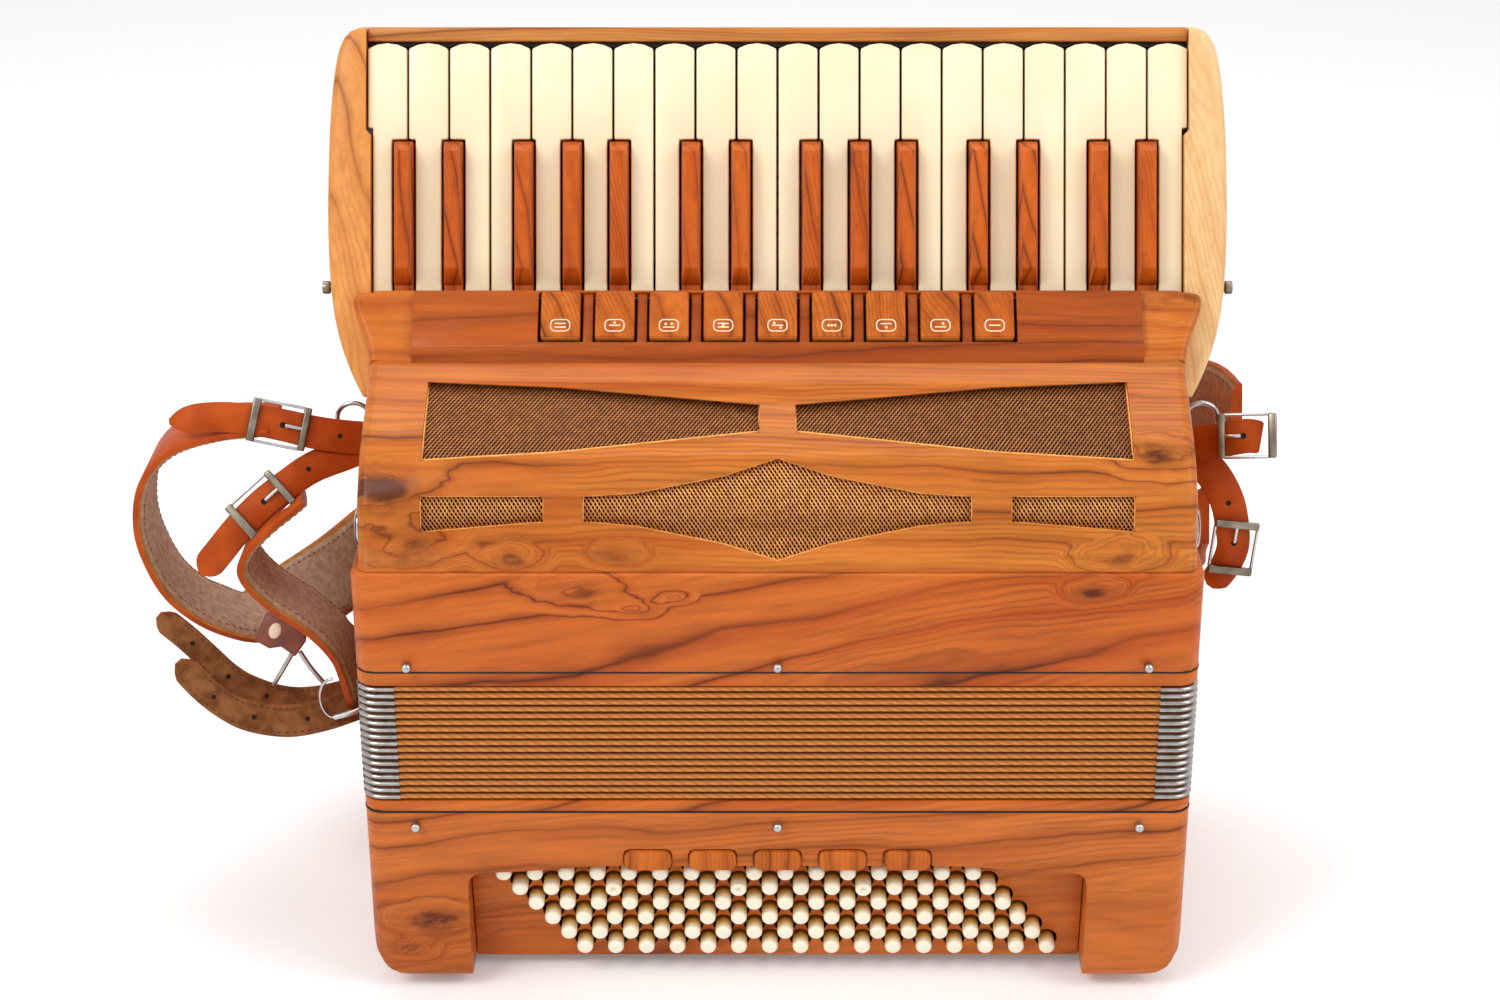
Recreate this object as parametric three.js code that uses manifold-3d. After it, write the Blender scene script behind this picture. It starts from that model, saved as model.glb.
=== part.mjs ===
// Piano accordion with a wooden body, 34 keys and 96 bass buttons, standing on its bass end.
// Lengths are millimetres. +Z is up, +X is to the viewer's right, and +Y goes from the grille to the back.
// The origin is on the floor, under the middle of the whole instrument's box, straps included.
import * as THREE from "three";
import { mergeVertices } from "three/addons/utils/BufferGeometryUtils.js";
import Module from "manifold-3d";

const wasm = await Module();
wasm.setup();

// Clearances and facets
const seatGap = 0.3; // between two pieces that touch
const runGap = 0.6; // beside a piece that slides in its hole
const overrun = 5; // how far a cutting solid passes what it cuts
const joinLap = 1; // how far the joined solids of one piece run into each other
const leastCorner = 1; // corner radius that is left when an outline is drawn far in
const weldDistance = 1e-4;
const cornerSteps = 3; // facets of a rounded corner
const buttonSides = 8;
const degree = Math.PI / 180;

// The body's box, shared by both cases, both frames and the bellows
const whiteKeys = 20;
const keyPitch = 19;
const bodyWidth = whiteKeys * keyPitch; // the body is as wide as its keys
const bodyDepth = 194;
const bodyCorner = 9;
const halfWidth = bodyWidth / 2;
const sideWall = 8;

// Heights, from the floor up
const footHeight = 6;
const bassHeight = 90.9;
const bassFrameHeight = 5.4;
const foldCount = 17;
const foldPitch = 3.48;
const trebleFrameHeight = 6.6;
const bandHeight = 48.4;
const bassTop = footHeight + bassHeight;
const bassFrameBase = bassTop + seatGap;
const bellowsBase = bassFrameBase + bassFrameHeight + seatGap;
const bellowsTop = bellowsBase + foldCount * foldPitch;
const trebleFrameBase = bellowsTop + seatGap;
const trebleBase = trebleFrameBase + trebleFrameHeight + seatGap;
const bandTop = trebleBase + bandHeight;

// Bass end: feet, legs and the arch over the buttons
const endWall = 5;
const frontWall = 12; // depth of the arch's lip
const legWidth = 46.2;
const legInner = halfWidth - legWidth; // half the width of the arch
const legDepth = 30;
const lowerCorner = 22; // outer corner of each leg, seen from the front
const endEdge = 6; // rounding of the end face's front and back edges
const archRise = 62; // end face to the arch's middle
const shoulderRise = 58.2; // end face to the arch beside the legs
const shoulderWidth = 62; // run of the arch's eased part beside each leg
const archCorner = 7;
const footRadius = 8;
const footInset = 36; // from the side of the body to a foot's middle
const footSetback = 27; // from the front or back of the body to a foot's middle

// Button board and the six rows of bass buttons
const boardTilt = 7.5 * degree;
const boardThickness = 3;
const boardTopRise = 63; // end face to the board's upper edge, behind the arch's lip
const buttonRows = 6;
const buttonsPerRow = 16;
const buttonFieldInset = 16.05; // arch's side to the middle of the outermost button
const buttonPitch = (2 * (legInner - buttonFieldInset)) / (buttonsPerRow - 1 + (buttonRows - 1) / 2);
const buttonRowPitch = 8.88;
const lowestRow = 10.6; // board's lower edge to the lowest row
const buttonRadius = 3.75;
const buttonReach = 8; // how far a button stands out of the board
const buttonDome = 1;
const buttonHoleRadius = 5.1;
const rowBarDepth = 3;
const rowBarHeight = 8.2;
const rowBarEnd = 5;

// Register tabs at the arch
const bassTabs = 5;
const bassTabPitch = 30;
const bassTabWidth = 21.5;
const bassTabHeight = 10;
const bassTabDepth = 4.4;
const bassTabProud = 1.5;
const bassTabBottomRise = 60.4;
const bassTabTravel = 2;
const bassTabCorner = 3;
const stemSize = 5;
const linkBarDepth = 3.5;

// Air button in the back wall
const airButtonRadius = 6;
const airButtonProud = 3;
const airFlangeRadius = 8.5;
const airFlangeDepth = 2.5;
const airButtonInset = 40; // from the side of the body
const airButtonRise = 50;

// Hand strap across the end face
const handStrapWidth = 62;
const handStrapThickness = 2.5;
const handStrapEndGap = 4; // along the body, from the middle of a foot to the strap's end
const handStrapSideGap = 3; // from the middle of the back feet forwards to the strap's edge
const handStrapEnd = 12;

// Bellows and frames
const foldDepth = 3.2;
const bellowsWall = 17;
const frameWall = 20;

// Treble case
const bandEdge = 3;
const soundboard = 8;
const shelfRise = 44; // top of the band to the shelf that carries the keyboard

// Keyboard plane: a key's own frame has +Y towards its tip and +Z out of the keyboard
const keyLean = 24 * degree;
const keyBaseInset = 82.8; // body's back to the place where the keys come out from under the cover
const keyBaseY = bodyDepth - keyBaseInset;
const shelfLead = 15.2; // how far the raised part reaches before that place
const shelfSetback = keyBaseY - shelfLead;
const keyBaseRise = 93.5; // the same place above the top of the band
const keyGap = 1.1;
const whiteLength = 113.5;
const whiteDepth = 14;
const leverDepth = 10;
const leverDrop = 2; // how much deeper the lever is at its tail
const tipSagitta = 2.5;
const tipLip = 6;
const blackWidth = 8.9;
const blackTopWidth = 6.4;
const blackLength = 68;
const blackRise = 9.5;
const blackTipRun = 5;
const blackBackRun = 7;
const blackStart = 2;
const keyTail = 24;
const edgeStep = 2.3; // how much narrower the two outer keys are beside the cheeks' steps
// Middle of each black key, off the edge between its white neighbours, as shares of the pitch
const blackOffsetShare = { E: -0.105, D: 0.105, B: -0.178, A: 0, G: 0.142 };
const noteNames = "EDCBAGF";
const axleRadius = 1.75;
const axleSetback = 14; // from the key base towards the tail
const axleDrop = 8; // below the white keys' tops
const axleSeat = 6;

// Keyboard bed and cheeks
const bedDrop = 20.4; // white keys' tops to the bed
const bedTail = 30;
const railThickness = 6.4;
const railDrop = 1;
const railGap = 1.2;
const railBack = 33; // depth of the rail below the keys' tops
const bedFootLag = 8.8; // bed's front on the shelf, behind the key base
const bedBackShare = 2 / 3; // of a white key's length, up to which the bed's back is upright
const bedBack = 1; // the bed's back face inside the body's back
const cheekThickness = 17.8;
const cheekRise = 3.5;
const cheekDepth = 34;
const cheekTail = 50;
const cheekTop = whiteLength + railGap + railThickness;
const cheekRound = 4; // rounding of the outer edge, front and back
const cheekRoundSteps = 3;
const cheekCurveSteps = 20;
const cheekStepPlace = 71; // where the cheek steps inwards, above the key base
// The cheek's outer edge from its tail up: inset as a share of its thickness, place of its height
const cheekShares = [
  [0.9, 0],
  [0.62, 0.06],
  [0.32, 0.146],
  [0.12, 0.249],
  [0.02, 0.38],
  [0, 0.52],
  [0.04, 0.7],
  [0.12, 0.82],
  [0.22, 0.9],
  [0.36, 0.955],
  [0.62, 0.99],
  [1, 1],
];

// Grille cover
const coverLip = 3; // behind the body's front
const coverEndLead = 7.2; // its upper edge before the key base
const coverEndRise = 1.4; // and above it
const coverRun = keyBaseY - coverEndLead - coverLip;
const coverRise = keyBaseRise + coverEndRise;
const coverSetIn = 3.5; // from the side of the body
const coverHalfWidth = halfWidth - coverSetIn;
const coverSpan = (keyBaseY - coverLip) * Math.sin(keyLean) + keyBaseRise * Math.cos(keyLean);
const coverWall = 3;
const coverEdge = 5;
const coverSteps = 3;
const coverCurveSteps = 12;
const coverSkirt = 10; // how far the uncut shell reaches below its rim
const keyWellGap = 1.2; // between the cover's flanks and the plane of the keys' tops
// The cover's section from the band up to the keyboard, as shares of its run and its rise
const coverShares = [
  [0, 0],
  [0.078, 0.13],
  [0.089, 0.253],
  [0.146, 0.356],
  [0.297, 0.502],
  [0.563, 0.638],
  [0.75, 0.733],
  [1, 1],
];

// Shoulders beside the cover's upper edge, and the flat panel round the register tabs
const shoulderReach = 5; // past the side of the body
const shoulderLength = 21; // down the slope
const shoulderDepth = 10;
const shoulderRound = 3;
const shoulderRoundSteps = 3;
const shoulderCurveSteps = 12;
// Outer edge from the top down: share of the reach past the cover, share of the length
const shoulderShares = [
  [0, 0],
  [0.72, 0.01],
  [0.95, 0.06],
  [1, 0.2],
  [0.93, 0.38],
  [0.66, 0.56],
  [0.3, 0.76],
  [0.1, 0.9],
  [0, 1],
];
const registerPanelHalf = 167;
const registerPanelProud = 3;
const registerPanelTop = 1.2; // below the cover's upper edge, along the slope
const registerPanelChamfer = 7.5;
const registerPanelLap = 2; // of the chamfer's start past the slot

// Openings in the cover, seen square on to the keyboard. Each point is a share of the cover's half
// width, and a share of the cover's height seen that way, from the key base down.
const upperPanelShares = [
  [0.0429, 0.5192],
  [0.5255, 0.5911],
  [0.8499, 0.6181],
  [0.8499, 0.34],
  [0.5255, 0.3593],
  [0.0429, 0.4211],
];
const smallPanelShares = [
  [0.555, 0.8267],
  [0.8499, 0.8622],
  [0.8499, 0.7379],
  [0.555, 0.7379],
];
const diamondShares = [
  [0, 0.9619],
  [0.1287, 0.904],
  [0.3378, 0.8422],
  [0.4627, 0.8267],
  [0.4627, 0.7379],
  [0.3378, 0.7263],
  [0.1287, 0.6683],
  [0, 0.6073],
];

// Mesh behind the openings, and how far it reaches past them
const meshThickness = 0.8;
const meshSideLap = 9.5;
const meshTopLap = 6;
const meshBottomLap = 2.5;

// Treble registers in their slot at the top of the cover
const trebleTabs = 9;
const trebleTabPitch = 24.8;
const trebleTabWidth = 18;
const trebleTabLength = 22;
const trebleTabCorner = 3;
const trebleTabProud = 5;
const trebleTabSetback = 3.6; // cover's upper edge to the tabs' upper ends, along the slope
const slotMargin = 1.4;
const trebleBarThickness = 2.4;
const trebleBarLap = 5; // of the bar past its slot

// Shoulder straps and their brackets
const strapWidth = 40;
const strapThickness = 5;
const strapEndWidth = 14;
const strapSteps = 3;
const bracketLength = 22;
const bracketHeight = 11;
const bracketCorner = 3.7;
const bracketThickness = 2;
const bracketRise = 27; // above the top of the band
const bracketLag = 18; // behind the front of the raised part
const bracketSetback = shelfSetback + bracketLag;
const ringRadius = 8;
const ringWire = 2.2;
const ringWireSides = 6;
const ringSteps = 12;

// Solids from three.js geometry, and back
function solidOf(geometry) {
  const bare = geometry.clone();
  bare.deleteAttribute("normal");
  bare.deleteAttribute("uv");
  const merged = mergeVertices(bare, weldDistance);
  const triVerts = new Uint32Array(merged.index.array);
  const vertProperties = merged.attributes.position.array;
  return new wasm.Manifold(new wasm.Mesh({ numProp: 3, vertProperties, triVerts }));
}

function geometryOf(solid) {
  const mesh = solid.getMesh();
  const geometry = new THREE.BufferGeometry();
  geometry.setAttribute("position", new THREE.BufferAttribute(mesh.vertProperties, 3));
  geometry.setIndex(new THREE.BufferAttribute(mesh.triVerts, 1));
  const flat = geometry.toNonIndexed();
  flat.computeVertexNormals();
  return flat;
}

function union(solids) {
  return solids.reduce((whole, part) => whole.add(part));
}

function box(fromX, toX, fromY, toY, fromZ, toZ) {
  const geometry = new THREE.BoxGeometry(toX - fromX, toY - fromY, toZ - fromZ);
  geometry.translate((fromX + toX) / 2, (fromY + toY) / 2, (fromZ + toZ) / 2);
  return solidOf(geometry);
}

// A prism of an outline, from one place to another on its own axis
function prism(outline, from, to, basis) {
  const shape = new THREE.Shape(outline);
  const geometry = new THREE.ExtrudeGeometry(shape, { depth: to - from, bevelEnabled: false });
  geometry.translate(0, 0, from);
  geometry.applyMatrix4(basis);
  return solidOf(geometry);
}

const axisX = new THREE.Vector3(1, 0, 0);
const axisY = new THREE.Vector3(0, 1, 0);
const axisZ = new THREE.Vector3(0, 0, 1);
const alongZ = new THREE.Matrix4();
const alongX = new THREE.Matrix4().makeBasis(axisY, axisZ, axisX);
const alongY = new THREE.Matrix4().makeBasis(axisX.clone().negate(), axisZ, axisY);

const prismZ = (outlineXY, from, to) => prism(outlineXY, from, to, alongZ);
const prismX = (outlineYZ, from, to) => prism(outlineYZ, from, to, alongX);
const prismY = (outlineXZ, from, to) =>
  prism(outlineXZ.map((p) => new THREE.Vector2(-p.x, p.y)), from, to, alongY);

function point(x, y) {
  return new THREE.Vector2(x, y);
}

// Points of an arc round a centre; angles in quarter turns
function arc(x, y, radius, from, to, steps = cornerSteps) {
  const points = [];
  for (let i = 0; i <= steps; i++) {
    const angle = ((from + ((to - from) * i) / steps) * Math.PI) / 2;
    points.push(point(x + radius * Math.cos(angle), y + radius * Math.sin(angle)));
  }
  return points;
}

function roundedBox(left, right, low, high, radius, steps = cornerSteps) {
  return [
    ...arc(right - radius, low + radius, radius, 3, 4, steps),
    ...arc(right - radius, high - radius, radius, 0, 1, steps),
    ...arc(left + radius, high - radius, radius, 1, 2, steps),
    ...arc(left + radius, low + radius, radius, 2, 3, steps),
  ];
}

function mirrored(points) {
  return points.map((p) => point(-p.x, p.y)).reverse();
}

// The body's outline from above, drawn in by an inset
function bodyPlan(inset = 0) {
  const radius = Math.max(bodyCorner - inset, leastCorner);
  return roundedBox(-halfWidth + inset, halfWidth - inset, inset, bodyDepth - inset, radius);
}

// A skin through rings of equally many points, closed on itself or capped at both ends.
// The caps are fans unless the faces of a cap are given as triples of a ring's points.
function loft(rings, closed, capFaces) {
  const count = rings[0].length;
  const positions = rings.flat().flatMap((p) => [p.x, p.y, p.z]);
  const index = [];
  const last = closed ? rings.length : rings.length - 1;
  for (let i = 0; i < last; i++) {
    const a = i * count;
    const b = ((i + 1) % rings.length) * count;
    for (let j = 0; j < count; j++) {
      const k = (j + 1) % count;
      index.push(a + j, a + k, b + k, a + j, b + k, b + j);
    }
  }
  if (!closed) {
    const end = (rings.length - 1) * count;
    const fan = rings[0].slice(2).map((p, j) => [0, j + 1, j + 2]);
    for (const [a, b, c] of capFaces ?? fan) {
      index.push(a, c, b, end + a, end + b, end + c);
    }
  }
  const geometry = new THREE.BufferGeometry();
  geometry.setAttribute("position", new THREE.Float32BufferAttribute(positions, 3));
  geometry.setIndex(index);
  return solidOf(geometry);
}

// A cylinder whose axis runs along +Y
function cylinderY(radius, fromY, toY, x, z, sides) {
  const geometry = new THREE.CylinderGeometry(radius, radius, toY - fromY, sides);
  geometry.translate(x, (fromY + toY) / 2, z);
  return solidOf(geometry);
}

function cylinderX(radius, fromX, toX, y, z, sides) {
  const geometry = new THREE.CylinderGeometry(radius, radius, toX - fromX, sides);
  geometry.rotateZ(-Math.PI / 2);
  geometry.translate((fromX + toX) / 2, y, z);
  return solidOf(geometry);
}

function cylinderZ(radius, fromZ, toZ, x, y, sides) {
  const geometry = new THREE.CylinderGeometry(radius, radius, toZ - fromZ, sides);
  geometry.rotateX(Math.PI / 2);
  geometry.translate(x, y, (fromZ + toZ) / 2);
  return solidOf(geometry);
}

// Finishes
function finish(color, roughness, metalness = 0) {
  return new THREE.MeshStandardMaterial({ color, roughness, metalness });
}
const oliveWood = finish(0xc8793e, 0.35);
const paleWood = finish(0xe8c48c, 0.35);
const darkWood = finish(0x8f4a22, 0.35);
const ivory = finish(0xf6edd6, 0.3);
const brassMesh = finish(0xb08a3c, 0.4, 0.8);
const steel = finish(0xb8b8bc, 0.3, 1);
const leather = finish(0xb5602a, 0.6);
const cloth = finish(0xb98a48, 0.7);

// The scene graph: the body is drawn standing on the floor with its front in the plane Y = 0
const accordion = new THREE.Group();

function addPiece(parent, name, solid, material) {
  const mesh = new THREE.Mesh(geometryOf(solid), material);
  mesh.name = name;
  parent.add(mesh);
  return mesh;
}

// Bass case: a box open to the bellows, with an arch cut out of its front between two legs
const boardHeight = boardTopRise / Math.cos(boardTilt);
const boardFootY = frontWall + seatGap + boardHeight * Math.sin(boardTilt);

function bassFront() {
  const corner = arc(halfWidth - lowerCorner, footHeight + lowerCorner, lowerCorner, 3, 4, 4);
  const right = [...corner, point(halfWidth, bassTop + overrun)];
  return [...right, ...mirrored(right)];
}

function bassSection() {
  return [
    ...arc(endEdge, footHeight + endEdge, endEdge, 2, 3),
    ...arc(bodyDepth - endEdge, footHeight + endEdge, endEdge, 3, 4),
    point(bodyDepth, bassTop + overrun),
    point(0, bassTop + overrun),
  ];
}

// The arch: level in the middle, eased down to its shoulders, rounded into the legs
function archOutline() {
  const top = footHeight + archRise;
  const shoulder = footHeight + shoulderRise;
  const drop = top - shoulder;
  const easeSteps = 6;
  const right = [point(legInner, -overrun)];
  right.push(...arc(legInner - archCorner, shoulder - archCorner, archCorner, 0, 1));
  for (let i = 1; i <= easeSteps; i++) {
    const t = i / easeSteps;
    const x = legInner - archCorner - t * shoulderWidth;
    right.push(point(x, shoulder + drop * t * t * (3 - 2 * t)));
  }
  return [...right, ...mirrored(right)];
}

// Everything in front of the button board's back face
function boardFrontRegion() {
  const back = boardThickness + seatGap;
  const footY = boardFootY + back * Math.cos(boardTilt);
  const footZ = footHeight + back * Math.sin(boardTilt);
  const lean = Math.tan(boardTilt);
  const low = -overrun;
  const high = bassTop;
  return [
    point(-overrun, low),
    point(footY + (footZ - low) * lean, low),
    point(footY - (high - footZ) * lean, high),
    point(-overrun, high),
  ];
}

function bassTabX(i) {
  return (i - (bassTabs - 1) / 2) * bassTabPitch;
}

const bassTabBottom = footHeight + bassTabBottomRise;
const bassTabTop = bassTabBottom + bassTabHeight;
const stemZ = bassTabTop - stemSize / 2 - bassTabProud;
const airButtonX = halfWidth - airButtonInset;
const airButtonZ = footHeight + airButtonRise;

function bassCase() {
  const inside = halfWidth - sideWall;
  const floor = footHeight + endWall;
  const rim = bassTop + overrun;
  let body = prismZ(bodyPlan(), footHeight, bassTop);
  body = body.intersect(prismY(bassFront(), -overrun, bodyDepth + overrun));
  body = body.intersect(prismX(bassSection(), -halfWidth - overrun, halfWidth + overrun));
  const cuts = [
    box(-inside, inside, legDepth, bodyDepth - sideWall, floor, rim),
    box(-legInner, legInner, frontWall, legDepth + overrun, floor, rim),
    prismY(archOutline(), -overrun, legDepth).intersect(
      prismX(boardFrontRegion(), -halfWidth, halfWidth),
    ),
    cylinderY(
      airButtonRadius + runGap,
      bodyDepth - sideWall - overrun,
      bodyDepth + overrun,
      airButtonX,
      airButtonZ,
      2 * buttonSides,
    ),
  ];
  const pocketHalf = bassTabWidth / 2 + runGap;
  const pocketDepth = bassTabDepth - bassTabProud + bassTabTravel + runGap;
  const stemHole = stemSize / 2 + runGap;
  for (let i = 0; i < bassTabs; i++) {
    const x = bassTabX(i);
    const pocket = roundedBox(
      x - pocketHalf,
      x + pocketHalf,
      bassTabBottom - runGap - bassTabCorner,
      bassTabTop + runGap,
      bassTabCorner,
      2,
    );
    cuts.push(prismY(pocket, -overrun, pocketDepth));
    const back = frontWall + overrun;
    cuts.push(box(x - stemHole, x + stemHole, 0, back, stemZ - stemHole, stemZ + stemHole));
  }
  body = body.subtract(union(cuts));
  const feet = [];
  for (const side of [-1, 1]) {
    for (const y of [footSetback, bodyDepth - footSetback]) {
      const x = side * (halfWidth - footInset);
      feet.push(cylinderZ(footRadius, 0, footHeight + endWall / 2, x, y, 2 * buttonSides));
    }
  }
  return union([body, ...feet]);
}

function handStrap() {
  const half = halfWidth - footInset - handStrapEndGap;
  const back = bodyDepth - footSetback - handStrapSideGap;
  const outline = roundedBox(-half, half, back - handStrapWidth, back, handStrapEnd);
  const top = footHeight - seatGap;
  return prismZ(outline, top - handStrapThickness, top);
}

function bassRegisters() {
  const solids = [];
  const barFront = frontWall + seatGap;
  const reach = bassTabX(bassTabs - 1) + stemSize;
  for (let i = 0; i < bassTabs; i++) {
    const x = bassTabX(i);
    const half = bassTabWidth / 2;
    const outline = roundedBox(x - half, x + half, bassTabBottom, bassTabTop, bassTabCorner, 2);
    solids.push(prismY(outline, -bassTabProud, bassTabDepth - bassTabProud));
    const stem = stemSize / 2;
    const from = bassTabDepth - bassTabProud - joinLap;
    const to = barFront + joinLap;
    solids.push(box(x - stem, x + stem, from, to, stemZ - stem, stemZ + stem));
  }
  const half = stemSize / 2;
  solids.push(box(-reach, reach, barFront, barFront + linkBarDepth, stemZ - half, stemZ + half));
  return union(solids);
}

function airButton() {
  const inner = bodyDepth - sideWall - seatGap;
  const rod = cylinderY(
    airButtonRadius,
    inner - airFlangeDepth / 2,
    bodyDepth + airButtonProud,
    airButtonX,
    airButtonZ,
    2 * buttonSides,
  );
  const flange = cylinderY(
    airFlangeRadius,
    inner - airFlangeDepth,
    inner,
    airButtonX,
    airButtonZ,
    2 * buttonSides,
  );
  return rod.add(flange);
}

// Button board, in its own frame: X across, Z up the board, -Y out towards the player
const buttonBoard = new THREE.Group();
buttonBoard.position.set(0, boardFootY, footHeight);
buttonBoard.rotation.x = boardTilt;
accordion.add(buttonBoard);

function buttonPlaces(row) {
  const shift = (row - (buttonRows - 1) / 2) * (buttonPitch / 2);
  const z = lowestRow + (buttonRows - 1 - row) * buttonRowPitch;
  const places = [];
  for (let i = 0; i < buttonsPerRow; i++) {
    places.push(point((i - (buttonsPerRow - 1) / 2) * buttonPitch + shift, z));
  }
  return places;
}

function buttonBoardPlate() {
  const half = legInner - seatGap;
  const outline = new THREE.Shape(
    [point(-half, 0), point(half, 0), point(half, boardHeight), point(-half, boardHeight)].map(
      (p) => point(-p.x, p.y),
    ),
  );
  for (let row = 0; row < buttonRows; row++) {
    for (const place of buttonPlaces(row)) {
      const hole = new THREE.Path();
      for (let i = 0; i < buttonSides; i++) {
        const angle = ((i + 0.5) / buttonSides) * 2 * Math.PI;
        const x = -place.x + buttonHoleRadius * Math.cos(angle);
        const y = place.y + buttonHoleRadius * Math.sin(angle);
        if (i === 0) hole.moveTo(x, y);
        else hole.lineTo(x, y);
      }
      outline.holes.push(hole);
    }
  }
  const geometry = new THREE.ExtrudeGeometry(outline, { depth: boardThickness, bevelEnabled: false });
  geometry.applyMatrix4(alongY);
  return solidOf(geometry);
}

function buttonRow(row) {
  const barFront = boardThickness + seatGap;
  const barMiddle = barFront + rowBarDepth / 2;
  const profile = [
    point(0, -buttonReach),
    point(buttonRadius - buttonDome, -buttonReach),
    point(buttonRadius, -buttonReach + buttonDome),
    point(buttonRadius, barMiddle),
    point(0, barMiddle),
  ];
  const places = buttonPlaces(row);
  const solids = places.map((place) => {
    const button = new THREE.LatheGeometry(profile, buttonSides);
    button.translate(place.x, 0, place.y);
    return solidOf(button);
  });
  const half = rowBarHeight / 2;
  const first = places[0];
  const last = places[places.length - 1];
  const bar = box(
    first.x - rowBarEnd,
    last.x + rowBarEnd,
    barFront,
    barFront + rowBarDepth,
    first.y - half,
    first.y + half,
  );
  return union([bar, ...solids]);
}

// Bellows and their frames
function ringAt(plan, z) {
  return plan.map((p) => new THREE.Vector3(p.x, p.y, z));
}

function frame(base, height) {
  const inner = bodyPlan(frameWall);
  const top = base + height;
  return prismZ(bodyPlan(), base, top).subtract(prismZ(inner, base - overrun, top + overrun));
}

function bellows() {
  const rings = [];
  for (let i = 0; i <= 2 * foldCount; i++) {
    const valley = i % 2 === 0;
    rings.push(ringAt(bodyPlan(valley ? foldDepth : 0), bellowsBase + (i * foldPitch) / 2));
  }
  rings.push(ringAt(bodyPlan(bellowsWall), bellowsTop));
  rings.push(ringAt(bodyPlan(bellowsWall), bellowsBase));
  return loft(rings, true);
}

// Treble case: a band round the sound chamber, with a shelf behind it that carries the keyboard
const shelfTop = bandTop + shelfRise;

function bandFront() {
  const right = [point(halfWidth, trebleBase - overrun)];
  right.push(...arc(halfWidth - bandEdge, bandTop - bandEdge, bandEdge, 0, 1, 2));
  return [...right, ...mirrored(right)];
}

function bandSection() {
  return [
    point(0, trebleBase - overrun),
    point(bodyDepth, trebleBase - overrun),
    point(bodyDepth, bandTop),
    ...arc(bandEdge, bandTop - bandEdge, bandEdge, 1, 2, 2),
  ];
}

function trebleCase() {
  const inside = halfWidth - sideWall;
  const back = bodyDepth - sideWall;
  let band = prismZ(bodyPlan(), trebleBase, bandTop);
  band = band.intersect(prismY(bandFront(), -overrun, bodyDepth + overrun));
  band = band.intersect(prismX(bandSection(), -halfWidth - overrun, halfWidth + overrun));
  const raised = prismZ(bodyPlan(), bandTop - bandEdge, shelfTop).subtract(
    box(-bodyWidth, bodyWidth, -overrun, shelfSetback, trebleBase, shelfTop + overrun),
  );
  const chamber = box(
    -inside,
    inside,
    sideWall,
    back,
    trebleBase - overrun,
    bandTop - soundboard,
  );
  const well = box(
    -inside,
    inside,
    shelfSetback - overrun,
    back,
    bandTop,
    shelfTop + overrun,
  );
  return band.add(raised).subtract(chamber).subtract(well);
}

// Keyboard frame: origin where the keys come out from under the cover
const keyBaseZ = bandTop + keyBaseRise;
const keyboard = new THREE.Group();
keyboard.position.set(0, keyBaseY, keyBaseZ);
keyboard.rotation.x = Math.PI / 2 - keyLean;
accordion.add(keyboard);

const fieldHalf = (whiteKeys * keyPitch) / 2;

// A place of the standing body, given in the keyboard's frame
function toKeyboard(y, z) {
  const dy = y - keyBaseY;
  const dz = z - keyBaseZ;
  return point(
    dy * Math.sin(keyLean) + dz * Math.cos(keyLean),
    -dy * Math.cos(keyLean) + dz * Math.sin(keyLean),
  );
}

function noteOf(key) {
  return noteNames[key % noteNames.length];
}

// Middle of the black key between a white key and its right neighbour, or null
function blackMiddle(key) {
  const share = blackOffsetShare[noteOf(key)];
  if (share === undefined || key >= whiteKeys - 1) return null;
  return -fieldHalf + (key + 1) * keyPitch + share * keyPitch;
}

// The fork that a key straddles its axle with, open below
function forkOutline() {
  const radius = axleRadius + seatGap;
  return [
    point(-axleSetback - radius, -whiteDepth - overrun),
    point(-axleSetback + radius, -whiteDepth - overrun),
    ...arc(-axleSetback, -axleDrop, radius, 0, 2, 4),
  ];
}

function whiteSection() {
  return [
    point(-keyTail, -leverDepth - leverDrop),
    point(whiteLength - tipLip, -leverDepth),
    point(whiteLength - tipLip, -whiteDepth),
    point(whiteLength + overrun, -whiteDepth),
    point(whiteLength + overrun, 0),
    point(-keyTail, 0),
  ];
}

function whiteKey(key) {
  const left = -fieldHalf + key * keyPitch + keyGap / 2;
  const right = left + keyPitch - keyGap;
  const slotHalf = blackWidth / 2 + keyGap;
  const leftBlack = key > 0 ? blackMiddle(key - 1) : null;
  const rightBlack = blackMiddle(key);
  let stemLeft = left;
  let stemRight = right;
  if (leftBlack !== null) stemLeft = leftBlack + slotHalf;
  if (rightBlack !== null) stemRight = rightBlack - slotHalf;
  if (key === 0) stemLeft = left + edgeStep;
  if (key === whiteKeys - 1) stemRight = right - edgeStep;
  const innerCut = blackLength + keyGap;
  const outerCut = cheekStepPlace + edgeStep + keyGap;
  const leftCut = key === 0 ? outerCut : innerCut;
  const rightCut = key === whiteKeys - 1 ? outerCut : innerCut;
  const outline = [point(stemLeft, -keyTail), point(stemRight, -keyTail)];
  if (stemRight < right) outline.push(point(stemRight, rightCut), point(right, rightCut));
  const middle = (left + right) / 2;
  const half = (right - left) / 2;
  const radius = (half * half + tipSagitta * tipSagitta) / (2 * tipSagitta);
  const spread = Math.asin(half / radius) / (Math.PI / 2);
  outline.push(...arc(middle, whiteLength - radius, radius, 1 - spread, 1 + spread, 4));
  if (stemLeft > left) outline.push(point(left, leftCut), point(stemLeft, leftCut));
  const body = prismZ(outline, -whiteDepth, 0);
  const section = prismX(whiteSection(), left - overrun, right + overrun);
  const fork = prismX(forkOutline(), left - overrun, right + overrun);
  return body.intersect(section).subtract(fork);
}

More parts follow.
